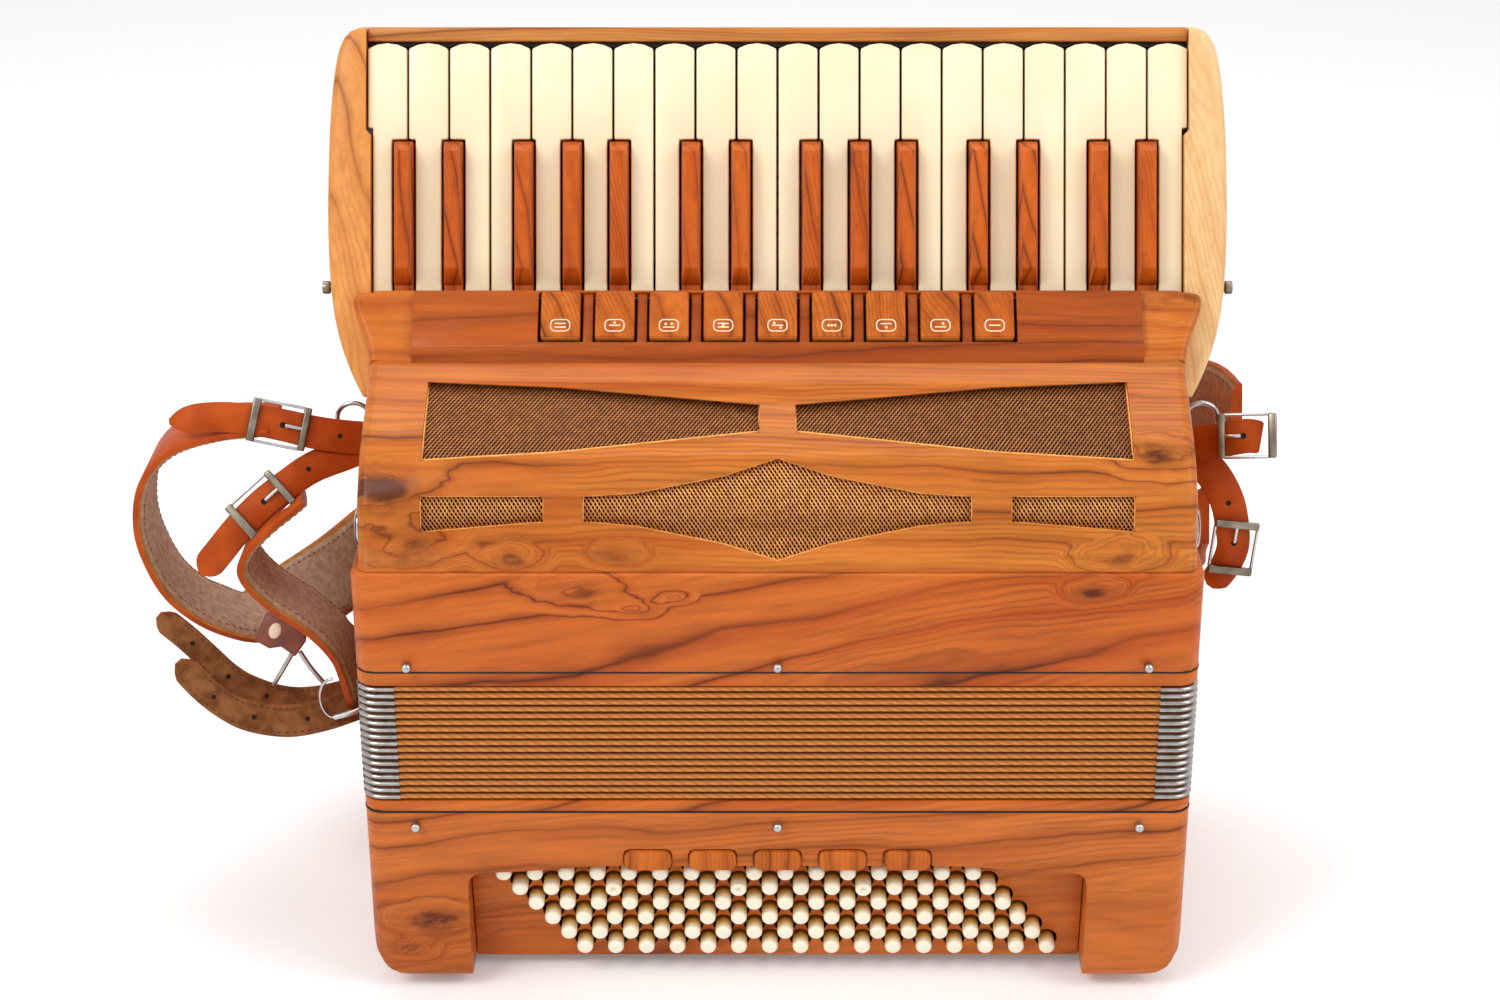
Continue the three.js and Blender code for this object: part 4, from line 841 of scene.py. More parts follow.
def mark(x, y, z, matrix, bars, dots):
    outer = slab(rounded(x - 4.6, x + 4.6, y - 3.1, y + 3.1, 2.4), z, z + MARK_THICK, matrix)
    pieces = [cut(outer, slab(rounded(x - 4.1, x + 4.1, y - 2.6, y + 2.6, 1.95), z - 1, z + 1, matrix))]
    for shift in bars:
        bar = rounded(x - 2.6, x + 2.6, y + shift - 0.3, y + shift + 0.3, 0.29, 3)
        pieces.append(slab(bar, z, z + MARK_THICK, matrix))
    for dot_x, dot_y in dots:
        pieces.append(drum(0.62, z, z + MARK_THICK, (x + dot_x, y + dot_y, 0), sides=14, matrix=matrix))
    return pieces


tab_low, tab_high, tab_top = -TAB_SETBACK - TAB_LENGTH, -TAB_SETBACK + 0.9, 5.0
tab_places = [(i - (TAB_COUNT - 1) / 2) * TAB_PITCH for i in range(TAB_COUNT)]
outline = rounded(-TAB_WIDTH / 2, TAB_WIDTH / 2, tab_low, tab_high, 1.2, 3)
tab = soften(slab(outline, -4, tab_top, SLOPE), 0.9, 3, 50)
tabs = joined("tabs", repeated(tab, [(x, 0, 0) for x in tab_places], SLOPE))
dress(tabs, "treble_register_tabs", wood_tabs, "treble_registers", "olive_wood", "treble_registers")
# the tabs' lower end faces take the lighter wood, a painted highlight where the ends catch the light
tabs.data.materials.append(wood_tab_ends_lit)
for face in tabs.data.polygons:
    if face.normal.dot(SLOPE.col[1].to_3d()) < -0.8:
        face.material_index = 1
marks = [part for x, (bars, dots) in zip(tab_places, MARKS)
         for part in mark(x, tab_low + 6.0, tab_top - 0.05, SLOPE, bars, dots)]
dress(joined("marks", marks), "treble_register_marks", mark_white, "treble_registers", "olive_wood")
# the bar under the slot is dark: painted shade at the floor of the slot between the tabs
bar = soften(block((-SLOT_HALF - 5, -31.5, -5.7), (SLOT_HALF + 5, -2.2, -3.3), SLOPE), 0.4, 2)
dress(bar, "treble_register_bar", painted_shade_dark, "treble_registers", "olive_wood")
POST_HALF, POST_RISE = 2.3, 1.4
post = block((-POST_HALF, SLOT_LOW - 0.1, -3.0), (POST_HALF, SLOT_HIGH + 0.1, POST_RISE), SLOPE)
soften(post, 0.5, 2)
posts = repeated(post, [(x + TAB_PITCH / 2, 0, 0) for x in tab_places[:-1]], SLOPE)
dress(joined("posts", posts), "register_posts", wood_panel, "treble_end", "olive_wood")
print("register tabs", len(MARKS), "pieces in marks", len(marks))

# %% [markdown]
# The white keys are thick caps with a shallow arc at the tip. Their shape is already true, so a
# copy gets the small round edges that a player's finger feels. The sharps are carved from wood
# and more rounded. Each key rides on its own body, because each turns alone.

# %% Keys
for node_name in sorted(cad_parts):
    if node_name.startswith("white_key"):
        key = soften(cleaned_copy(node_name), 0.75, 3, 60, 50)
        dress(key, node_name + "_cap", ivory, node_name, "ivory_plastic", node_name)
    if node_name.startswith("black_key"):
        key = soften(cleaned_copy(node_name), 1.3, 4, 35, 60)
        dress(key, node_name + "_wood", wood_sharps, node_name, "dark_wood", node_name)
print("faces of the last key", len(key.data.polygons))

# %% [markdown]
# The bed carries the keys and ends in a rail above their tips, with a felt strip between, which
# stops them quietly. The two cheeks close the keyboard at its ends. They were made from paler
# boards, and the right one is the palest.

# %% Keyboard bed, cheeks and felt
bed = soften(cleaned_copy("keyboard_bed"), 0.8, 3, 50)
dress(bed, "keyboard_bed_wood", wood_rail, "treble_end", "olive_wood", "keyboard_bed")
STRIP_HALF, STRIP_LOW, STRIP_HIGH = 189.6, 112.4, 114.4
strip = soften(block((-STRIP_HALF, STRIP_LOW, -19), (STRIP_HALF, STRIP_HIGH, -4.5), KEYS), 0.4, 2)
dress(strip, "key_felt", felt_and_painted_shade, "treble_end", "bellows_cloth")
for side, finish in (("left", wood_left), ("right", wood_right)):
    cheek = soften(cleaned_copy("keyboard_cheek_" + side), 2.6, 5, 50)
    dress(cheek, "keyboard_cheek_%s_wood" % side, finish, "treble_end", "olive_wood",
          "keyboard_cheek_" + side)
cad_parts["key_axle"].data.materials.clear()
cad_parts["key_axle"].data.materials.append(chrome)
print("bed", len(bed.data.polygons), "faces")

# %% [markdown]
# Ninety-six buttons stand in six rows on a sloping board, each row half a pitch beside the last.
# The holes are wider than the buttons. So the board is cut with all its drums at once, the hole
# walls get painted shade, and a dark felt behind them is painted shade that hides the empty case.

# %% Button board
BUTTON_ROWS, ROW_COUNT = 6, 16
BUTTON_PITCH, ROW_PITCH, LOWEST_ROW = 14.6, 8.88, 10.6
BUTTON_RADIUS, BUTTON_REACH, HOLE_RADIUS = 3.75, 8, 5.1
BOARD_HALF, BOARD_THICK = 143.4, 3


def button_places(row):
    """Places of one row's buttons on the board, across and up, from the top row down."""
    shift = (row - (BUTTON_ROWS - 1) / 2) * BUTTON_PITCH / 2
    height = LOWEST_ROW + (BUTTON_ROWS - 1 - row) * ROW_PITCH
    return [((i - (ROW_COUNT - 1) / 2) * BUTTON_PITCH + shift, height) for i in range(ROW_COUNT)]


facing = BOARD.col[1].to_3d()
board = block((-BOARD_HALF, 0, 0), (BOARD_HALF, BOARD_THICK, BOARD_HEIGHT), BOARD)
holes = [drum(HOLE_RADIUS, -4, 8, (x, 0, z), "Y", 20, BOARD)
         for row in range(BUTTON_ROWS) for x, z in button_places(row)]
cut(board, joined("holes", holes))
soften(board, 0.35, 2, 50)
dress(board, "bass_button_board_wood", wood_bass, "bass_end", "olive_wood", "bass_button_board")
# the hole walls take the dark finish: painted shade inside the holes
board.data.materials.append(painted_shade_dark)
for face in board.data.polygons:
    middle = BOARD.inverted() @ face.center / MM
    within = abs(middle.x) < BOARD_HALF - 0.4 and 0.5 < middle.z < BOARD_HEIGHT - 0.5
    if within and abs(face.normal.dot(facing)) < 0.8:
        face.material_index = 1
# a dark felt sheet behind the holes: painted shade in place of the case's shaded inside
backing = block((2.4 - BOARD_HALF, 8.2, 1), (BOARD_HALF - 2.4, 8.8, BOARD_HEIGHT - 1), BOARD)
dress(backing, "button_backing_painted_shade", felt_and_painted_shade, "bass_end", "bellows_cloth")
print("board", round(BOARD_HEIGHT, 1), "mm high, holes", len(holes))

# %% [markdown]
# The buttons are ivory. Towards the board they get painted shade and a painted reflection of the
# wood in amber, and they stay white towards the tip. The colour follows the distance from the
# board's face, which a dot product with the board's direction gives on any button, so that all of
# them share one finish.

# %% Finish of the buttons
button_ivory_painted_shade, tree, shader = new_material("button_ivory_painted_shade")
place_in = object_place(tree)
depth = vector_node(tree, "DOT_PRODUCT", place_in, facing)
depth = math_node(tree, "SUBTRACT", depth, facing.dot(BOARD.to_translation()) - BUTTON_REACH * MM)
depth = math_node(tree, "MULTIPLY", depth, 1 / (BUTTON_REACH * MM))
tone = node(tree, "ShaderNodeTexNoise", {"Vector": place_in, "Scale": 90.0}).outputs["Fac"]
tone = math_node(tree, "MULTIPLY", math_node(tree, "SUBTRACT", tone, 0.5), 0.3)
# amber to brown near the board is painted shade and a painted reflection of the wood; the white tip is the
# ivory
colour = ramp(tree, math_node(tree, "ADD", depth, tone), [
    (0.0, shade(254, 248, 226)), (0.4, shade(253, 240, 204)), (0.62, shade(238, 200, 122)),
    (0.84, shade(214, 162, 74)), (1.0, shade(164, 102, 34))])
tree.links.new(colour, shader.inputs["Base Color"])
shader.inputs["Roughness"].default_value = 0.3
shader.inputs["Specular IOR Level"].default_value = 0.3
print("buttons stand", BUTTON_REACH, "mm proud")

# %% [markdown]
# A button is a short cylinder with a rounded head. Three of them have a dimple, by which the
# player's fingers find their way. Both kinds are modelled once and copied along the rows, and a
# row is one piece, because its CAD node is.

# %% Bass buttons
DIMPLED, DIMPLE_RADIUS, DIMPLE_DEPTH = (3, 7, 11), 1.2, 1.6


def button(dimple):
    head = drum(BUTTON_RADIUS, -BUTTON_REACH, 4, (0, 0, 0), "Y", 20, BOARD)
    if dimple:
        cut(head, drum(DIMPLE_RADIUS, -BUTTON_REACH - 0.5, DIMPLE_DEPTH - BUTTON_REACH,
                       (0, 0, 0), "Y", 12, BOARD))
    return soften(head, 1.2 if dimple else 1.7, 4, 60, 50)


for row in range(BUTTON_ROWS):
    plain, dimpled = [], []
    for i, (x, z) in enumerate(button_places(row)):
        (dimpled if row == 1 and i in DIMPLED else plain).append((x, 0, z))
    heads = repeated(button(False), plain, BOARD) + repeated(button(True), dimpled, BOARD)
    name = "bass_button_row_%d" % (row + 1)
    dress(joined("row", heads), name + "_heads", button_ivory_painted_shade, name, "button_plastic", name)
print("buttons in a row", len(heads))

# %% [markdown]
# Five small wooden tabs above the buttons change the bass sound, and a round button in the back
# wall lets air out of the bellows. The tabs are one slab with round corners, copied four times.

# %% Bass registers and air button
BASS_TAB_PITCH, BASS_TAB_HALF, BASS_TAB_LOW, BASS_TAB_HIGH = 30, 10.75, 66.4, 76.4
outline = rounded(-BASS_TAB_HALF, BASS_TAB_HALF, BASS_TAB_LOW, BASS_TAB_HIGH, 3.4)
tab = soften(slab(outline, -1.5, 2.9, axis="Y"), 0.8, 3, 50)
tabs = repeated(tab, [((i - 2) * BASS_TAB_PITCH, 0, 0) for i in range(5)])
dress(joined("tabs", tabs), "bass_register_tabs", wood_tabs, "bass_registers", "olive_wood", "bass_registers")
air = soften(cleaned_copy("air_button"), 1.0, 3, 50)
dress(air, "air_button_cap", ivory, "air_button", "steel", "air_button")
print("air button", len(air.data.polygons), "faces")

# %% [markdown]
# The bellows are seventeen folds of card, covered with a gold twisted braid. The folds are rings
# of points round the body's plan, stacked up Z. A UV map runs along the braid and up the folds.

# %% Folds of the bellows
FOLDS = 17
FOLD_PITCH = (BELLOWS_TOP - BELLOWS_BASE) / FOLDS
CORNER = 9
BRAID_PITCH = 5.5
FOLD_SHAPE = [(0.0, 3.2), (0.14, 1.5), (0.32, 0.45), (0.5, 0.1), (0.68, 0.45), (0.86, 1.5)]


def plan_points(inset, steps=8):
    radius = CORNER - inset
    return rounded(-HALF_WIDTH + inset, HALF_WIDTH - inset, inset, BODY_DEPTH - inset, radius, steps)


def between_ends(piece):
    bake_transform(piece)


levels = [(i + rise, inset) for i in range(FOLDS) for rise, inset in FOLD_SHAPE] + [(FOLDS, 3.2)]
plan = plan_points(0)
lengths = [0.0]
for a, b in zip(plan, plan[1:] + plan[:1]):
    lengths.append(lengths[-1] + math.dist(a, b))
rings = [[(x, y, BELLOWS_BASE + level * FOLD_PITCH) for x, y in plan_points(inset)]
         for level, inset in levels]
closing = [[(x, y, z) for x, y in plan_points(8.5)] for z in (BELLOWS_TOP, BELLOWS_BASE)]
fold_levels = [level for level, inset in levels] + [FOLDS, 0, 0]
bellows = skin("bellows_folds", rings + closing, closed=True,
               uv=lambda i, k: (lengths[k] / BRAID_PITCH, fold_levels[i]))
smooth(bellows, 50)
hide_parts("bellows")
between_ends(bellows)
print("bellows", len(bellows.data.polygons), "faces")

# %% [markdown]
# The braid is many cords twisted together, laid along each fold. One turn of the cord is one step
# of the UV map, slanted by the place on the fold, with six finer threads in each. Threads on the
# crest of a fold get a painted highlight, and the valley between two folds gets painted shade.

# %% Braid of the folds
braid, tree, shader = new_material("gold_braid")
uv = node(tree, "ShaderNodeUVMap", uv_map="pattern").outputs[0]
parts = node(tree, "ShaderNodeSeparateXYZ", {0: uv})
fold = math_node(tree, "FRACT", parts.outputs["Y"])
height = ramp(tree, fold, [(0.0, 0.0), (0.2, 0.35), (0.5, 1.0), (0.8, 0.35), (1.0, 0.0)])
slanted = math_node(tree, "ADD", parts.outputs["X"], math_node(tree, "MULTIPLY", fold, 1.3))
strand = ramp(tree, math_node(tree, "FRACT", slanted), [
    (0.0, 0.1), (0.18, 0.85), (0.5, 1.0), (0.82, 0.45), (1.0, 0.1)])
fine_twist = math_node(tree, "FRACT", math_node(tree, "MULTIPLY", slanted, 6.0))
fine_strand = ramp(tree, fine_twist, [(0.0, 0.2), (0.5, 1.0), (1.0, 0.2)])
painted_shine = math_node(tree, "MULTIPLY", math_node(tree, "MULTIPLY", strand, fine_strand), height)
# painted shade in the valleys and a painted highlight on the crests' threads
crest_painted_light = ramp(tree, height, [(0.0, 0.0), (0.45, 1.0)])
base = blend_colours(tree, crest_painted_light, shade(62, 28, 8), shade(196, 116, 40))
cloth = blend_colours(tree, ramp(tree, painted_shine, [(0.25, 0.0), (0.8, 0.85)]), base, shade(244, 182, 96))
tree.links.new(cloth, shader.inputs["Base Color"])
shader.inputs["Roughness"].default_value = 0.55
bump_height = math_node(tree, "ADD", strand, math_node(tree, "MULTIPLY", fine_strand, 0.35))
bump = node(tree, "ShaderNodeBump", {"Height": bump_height, "Strength": 0.8, "Distance": 0.0006})
tree.links.new(bump.outputs[0], shader.inputs["Normal"])
bellows.data.materials.append(braid)
print("braid nodes", len(tree.nodes))

# %% [markdown]
# Steel caps protect the four corners of every fold. One cap per corner is swept round the bend,
# with the round section that pressed steel has, and copied up the folds.

# %% Steel corners of the bellows
CAP_SHAPE = [(3.3, -1.6), (1.0, -1.15), (-0.3, -0.55), (-0.45, 0.0), (-0.3, 0.55), (1.0, 1.15), (3.3, 1.6)]
CAP_REACH = 17.5
bend = [math.radians(15 * k) for k in range(1, 6)]
path = [(HALF_WIDTH - CAP_REACH, 0, 0), (HALF_WIDTH - CORNER, 0, 0)]
path += [(HALF_WIDTH - CORNER + CORNER * math.sin(a), CORNER - CORNER * math.cos(a), a) for a in bend]
path += [(HALF_WIDTH, CORNER, math.pi / 2), (HALF_WIDTH, CAP_REACH + 2, math.pi / 2)]
caps = []
for side in (-1, 1):
    for back in (False, True):
        rings = []
        for x, y, a in path:
            ring = [(x - inset * math.sin(a), y + inset * math.cos(a), rise) for inset, rise in CAP_SHAPE]
            rings.append([(side * px, BODY_DEPTH - py if back else py, rise) for px, py, rise in ring])
        heights = [BELLOWS_BASE + (i + 0.5) * FOLD_PITCH for i in range(FOLDS)]
        caps += repeated(skin("cap", rings), [(0, 0, z) for z in heights])
corners = smooth(joined("bellows_corners", caps), 60)
corners.data.materials.append(corner_steel)
between_ends(corners)
print("corners", len(corners.data.polygons), "faces")

# %% [markdown]
# The grille is expanded brass: a sheet slit and pulled open into small diamonds. The net follows
# the inside of the cover, so a place on it is given by X and by the way along the bent section.
# The openings are drawn on the keyboard's plane, so each place is also looked up there.

# %% Places on the sheet of the grille
net_line = inward(cover_line, COVER_WALL + 0.5)
net_lengths = [0.0]
for a, b in zip(net_line, net_line[1:]):
    net_lengths.append(net_lengths[-1] + (b - a).length)


def net_point(x, run, depth):
    """A place on the sheet: across, along its bent section, and out of it."""
    i = max(k for k in range(len(net_line) - 1) if net_lengths[k] <= max(run, 0) or k == 0)
    share = (run - net_lengths[i]) / (net_lengths[i + 1] - net_lengths[i])
    along = net_line[i + 1] - net_line[i]
    p = net_line[i] + along * share
    out = Vector((-along.y, along.x)).normalized() * depth
    return (x, p.x + out.x, p.y + out.y)


def key_height(x, run):
    """The same place in the keyboard's frame, where the openings are drawn."""
    return (KEYS.inverted() @ at(*net_point(x, run, 0))).y / MM


def run_at(height):
    """How far along the section the sheet reaches a height in the keyboard's frame."""
    low, high = 0.0, net_lengths[-1]
    for _ in range(24):
        middle = (low + high) / 2
        low, high = (middle, high) if key_height(0, middle) < height else (low, middle)
    return low


def inside(outline, x, y, margin=2.6):
    """True where a point is in an outline, or less than a margin outside it."""
    within = False
    near = math.inf
    for (x1, y1), (x2, y2) in zip(outline, outline[1:] + outline[:1]):
        if (y1 > y) != (y2 > y) and x < (x2 - x1) * (y - y1) / (y2 - y1) + x1:
            within = not within
        length = (x2 - x1) ** 2 + (y2 - y1) ** 2
        t = max(0, min(1, ((x - x1) * (x2 - x1) + (y - y1) * (y2 - y1)) / length))
        near = min(near, math.hypot(x - x1 - t * (x2 - x1), y - y1 - t * (y2 - y1)))
    return within or near < margin


print("sheet", round(net_lengths[-1], 1), "mm along the section")

# %% [markdown]
# Only the diamonds behind an opening are made. Each is a ring of four faces round its hole, with
# shared corners that step in and out, as slit metal does, and the whole net gets its thickness at
# once. The strands that look up get a painted highlight in a lighter brass, and the others painted
# shade in a darker brass, because the real strands are twisted too finely for a light to show it.
# Behind the upper openings these strands get the darkest brass instead, painted shade.

# %% Expanded mesh
CELL_WIDTH, CELL_HEIGHT, STRAND, SHEET = 1.9, 3.0, 0.32, 0.4
CELLS_ASIDE = 86
CORNER_OUT, HOLE_OUT, HOLE_TWIST = 0.22, 0.12, 0.16
LIT, MID, SHADED = range(3)
hole = 1 - STRAND
hole_corners = [(0, hole), (hole, 0), (0, -hole), (-hole, 0)]
vertices, faces, tones, numbers = [], [], [], {}


def net_vertex(key, x, run, depth):
    if key not in numbers:
        numbers[key] = len(vertices)
        vertices.append(at(*net_point(x, run, depth)))
    return numbers[key]


for j in range(2, int(net_lengths[-1] / (CELL_HEIGHT / 2))):
    run = j * CELL_HEIGHT / 2
    height_here = key_height(0, run)
    reached = [o for o in OPENINGS.values()
               if min(y for x, y in o) - 3 < height_here < max(y for x, y in o) + 3]
    for i in range(-CELLS_ASIDE, CELLS_ASIDE + 1):
        x = (i + (j % 2) / 2) * CELL_WIDTH
        if not any(inside(o, x, height_here) for o in reached):
            continue
        upper = any(inside(OPENINGS["upper_" + side], x, height_here) for side in ("left", "right"))
        c = 2 * i + j % 2
        outer = [net_vertex((c, j + 1), x, run + CELL_HEIGHT / 2, CORNER_OUT),
                 net_vertex((c + 1, j), x + CELL_WIDTH / 2, run, 0.0),
                 net_vertex((c, j - 1), x, run - CELL_HEIGHT / 2, CORNER_OUT),
                 net_vertex((c - 1, j), x - CELL_WIDTH / 2, run, 0.0)]
        ring = [net_vertex((c, j, n), x + dx * CELL_WIDTH / 2, run + dy * CELL_HEIGHT / 2,
                           HOLE_OUT - HOLE_TWIST * dy)
                for n, (dx, dy) in enumerate(hole_corners)]
        for n in range(4):
            m = (n + 1) % 4
            faces.append((outer[n], ring[n], ring[m], outer[m]))
            # even strands get the painted highlight, or painted shade behind the upper openings; odd strands
            # the mid brass
            tones.append(MID if n % 2 else SHADED if upper else LIT)
net = bpy.data.meshes.new("net")
net.from_pydata([tuple(v) for v in vertices], [], faces)
net_piece = bpy.data.objects.new("grille_net", net)
bpy.context.scene.collection.objects.link(net_piece)
for finish in (brass_lit, brass_mid, brass_shade):
    net.materials.append(finish)
for face, tone in zip(net.polygons, tones):
    face.material_index = tone
modify(net_piece, "SOLIDIFY", thickness=SHEET * MM, offset=-1)
dress(net_piece, "grille_net", None, "treble_end", "gold_mesh", "grille_mesh")
print("net", len(faces) // 4, "diamonds")

# %% [markdown]
# A dark lining behind the net, painted shade, keeps the view out of the case. It follows the bent
# section too, and leaves room for the register tabs. A thin brass edge runs round each opening where
# the net meets the wood: a wire that follows the sheet, with a point every five millimetres, in the
# lit brass with its painted highlight.

# %% Lining and brass edges of the openings
LINING_HALF, LINING_DEPTHS = 170, (4.6, 5.2)
near_side, far_side = [[tuple(p) for p in inward(cover_line, depth)[4:]] for depth in LINING_DEPTHS]
lining = slab(near_side + far_side[::-1], -LINING_HALF, LINING_HALF, axis="X")
cut(lining, block((-SLOT_HALF - 6, -36, -20), (SLOT_HALF + 6, 6, 20), SLOPE))
# the lining takes the dark finish: painted shade behind the net
dress(lining, "grille_lining", painted_shade_dark, "treble_end", "bellows_cloth")
rims = []
for outline in OPENINGS.values():
    route = []
    for (x1, y1), (x2, y2) in zip(outline, outline[1:] + outline[:1]):
        steps = max(1, round(math.hypot(x2 - x1, y2 - y1) / 5))
        shares = [k / steps for k in range(steps)]
        route += [net_point(x1 + (x2 - x1) * s, run_at(y1 + (y2 - y1) * s), 0.5) for s in shares]
    rims.append(wire(route, 0.7, closed=True))
# the rims take the lit brass, with its painted highlight
dress(joined("rims", rims), "opening_rims", brass_lit, "treble_end", "gold_mesh")
print("rims", len(rims))

# %% [markdown]
# Small fasteners and seams: the ball-headed pins that hold the bellows frames, the thin gasket
# between each case and its frame, and a stud beside each cheek. A ball alone would look like a
# toy, so each pin also has its collar.

# %% Pins, gaskets and studs
def ball(radius, centre, matrix=STANDING, scale=(1, 1, 1)):
    bpy.ops.mesh.primitive_uv_sphere_add(segments=24, ring_count=14, radius=radius * MM)
    piece = bpy.context.object
    piece.data.transform(Matrix.Diagonal((*scale, 1)))
    piece.data.transform(Matrix.Translation(Vector(centre) * MM))
    return place(smooth(piece, 60), matrix)


def drum_aside(radius, near, far, y, z, side, matrix=STANDING, sides=20):
    """A drum along X, from one distance off the middle to another, on one side."""
    low, high = sorted((side * near, side * far))
    return drum(radius, low, high, (0, y, z), "X", sides, matrix)


PIN_PLACES = (-166, 0, 166)
for name, height, body in (("upper", 173.2, "treble_end"), ("lower", 90.5, "bass_end")):
    collar = soften(drum(1.9, -1.4, 0.5, (0, 0, height), "Y", 20), 0.3, 2)
    pin = joined("pin", [collar, ball(2.35, (0, -2.9, height))])
    pins = joined("pins", repeated(pin, [(x, 0, 0) for x in PIN_PLACES]))
    dress(pins, "bellows_pins_" + name, chrome, body, "steel")
GASKET_PROUD, GASKET_HALF = 0.12, 0.4
for name, height, body in (("upper", TREBLE_BASE, "treble_end"), ("lower", BASS_TOP, "bass_end")):
    rings = [[(x, y, height + rise) for x, y in plan_points(-GASKET_PROUD)]
             for rise in (-GASKET_HALF, GASKET_HALF)]
    dress(skin("gasket", rings), "case_gasket_" + name, felt_and_painted_shade, body, "bellows_cloth")
studs = [soften(drum_aside(radius, near, far, 1, -7, side, KEYS), 0.5, 2, 50)
         for side in (-1, 1) for near, far, radius in ((206.0, 208.0, 2.2), (208.0, 211.5, 3.1))]
dress(joined("studs", studs), "cheek_studs", nickel, "treble_end", "steel")
print("pins", 2 * len(PIN_PLACES), "studs", len(studs) // 2)

# %% [markdown]
# Two padded shoulder straps run from the brackets round the back. Each is tan leather outside and
# a stitched suede pad inside, and ends in a narrower strap with a buckle. They are flat bands
# swept through places read from the picture, because a simulation would erase their edges. A
# place is a middle, the direction of the band's width, and the width.

# %% Sweeping a band
LEVEL, TURNING, UPRIGHT = Vector((0, 1, 0)), Vector((0, 1, 1)), Vector((0, 0, 1))


def running_length(points):
    run = [0.0]
    for a, b in zip(points, points[1:]):
        run.append(run[-1] + (b - a).length)
    return run


def sweep(stations, steps):
    """Evenly spread frames along the stations: middle, width direction, outward direction, width."""
    middles = curve_through([s[:3] for s in stations], steps)
    frames = []
    for n, middle in enumerate(middles):
        i = min(n // steps, len(stations) - 2)
        share = n / steps - i
        across = stations[i][3].normalized().lerp(stations[i + 1][3].normalized(), share).normalized()
        width = stations[i][4] + (stations[i + 1][4] - stations[i][4]) * share
        along = (middles[min(n + 1, len(middles) - 1)] - middles[max(n - 1, 0)]).normalized()
        out = -along.cross(across).normalized()
        across = along.cross(out).normalized() * -1
        frames.append((middle, across, out, width))
    return frames


def strap(name, stations, section, steps=6, tip=()):
    """A band through the stations, whose last frames narrow to the shares given as its tip."""
    frames = sweep(stations, steps)
    for n, share in enumerate(tip):
        middle, across, out, width = frames[n - len(tip)]
        frames[n - len(tip)] = (middle, across, out, width * share)
    run = running_length([f[0] for f in frames])
    rings = [[m + across * (a * width / 2) + out * b for a, b in section] for m, across, out, width in frames]
    piece = skin(name, rings, uv=lambda i, k: (run[i] / 100, k / len(section)))
    print(name, round(run[-1]), "mm long")
    return smooth(piece, 50), frames


# %% [markdown]
# The seams are rows of short threads. A thread is a tiny boat of five faces, because there are
# hundreds of them, and it lies at a share of the band's half width.

# %% Seams
def stitches(name, body, frames, reach, height, pitch=3.4, length=2.8):
    """Two rows of short threads along a band, each at the same share of its half width."""
    middles = [f[0] for f in frames]
    run = running_length(middles)
    vertices, faces = [], []
    for a in (-reach, reach):
        position, i = pitch, 0
        while position < run[-1] - pitch:
            while run[i + 1] < position:
                i += 1
            share = (position - run[i]) / (run[i + 1] - run[i])
            along = (middles[i + 1] - middles[i]).normalized()
            across = frames[i][1].lerp(frames[i + 1][1], share)
            out = frames[i][2].lerp(frames[i + 1][2], share)
            centre = middles[i].lerp(middles[i + 1], share) + across * (a * frames[i][3] / 2) + out * height
            side, lift, half = across * 0.42, out * (0.3 if height > 0 else -0.3), along * length / 2
            n = len(vertices)
            vertices += [centre - half, centre + side, centre + lift, centre - side, centre + half]
            faces += [(n, n + 2, n + 1), (n, n + 3, n + 2), (n + 4, n + 1, n + 2), (n + 4, n + 2, n + 3),
                      (n, n + 1, n + 4, n + 3)]
            position += pitch
    mesh = bpy.data.meshes.new("stitches")
    mesh.from_pydata([tuple(at(*v)) for v in vertices], [], faces)
    piece = bpy.data.objects.new("stitches", mesh)
    bpy.context.scene.collection.objects.link(piece)
    print(name, len(faces) // 5, "threads")
    return dress(piece, name, thread, body, "strap_leather")


# %% [markdown]
# A pad's section is drawn once: flat leather outside, a piped edge, and a soft belly of suede. The
# ring of a face in that section says which finish it has. The pads hang in the places where the
# picture shows them, and behind the body they take the shortest way to the other bracket.

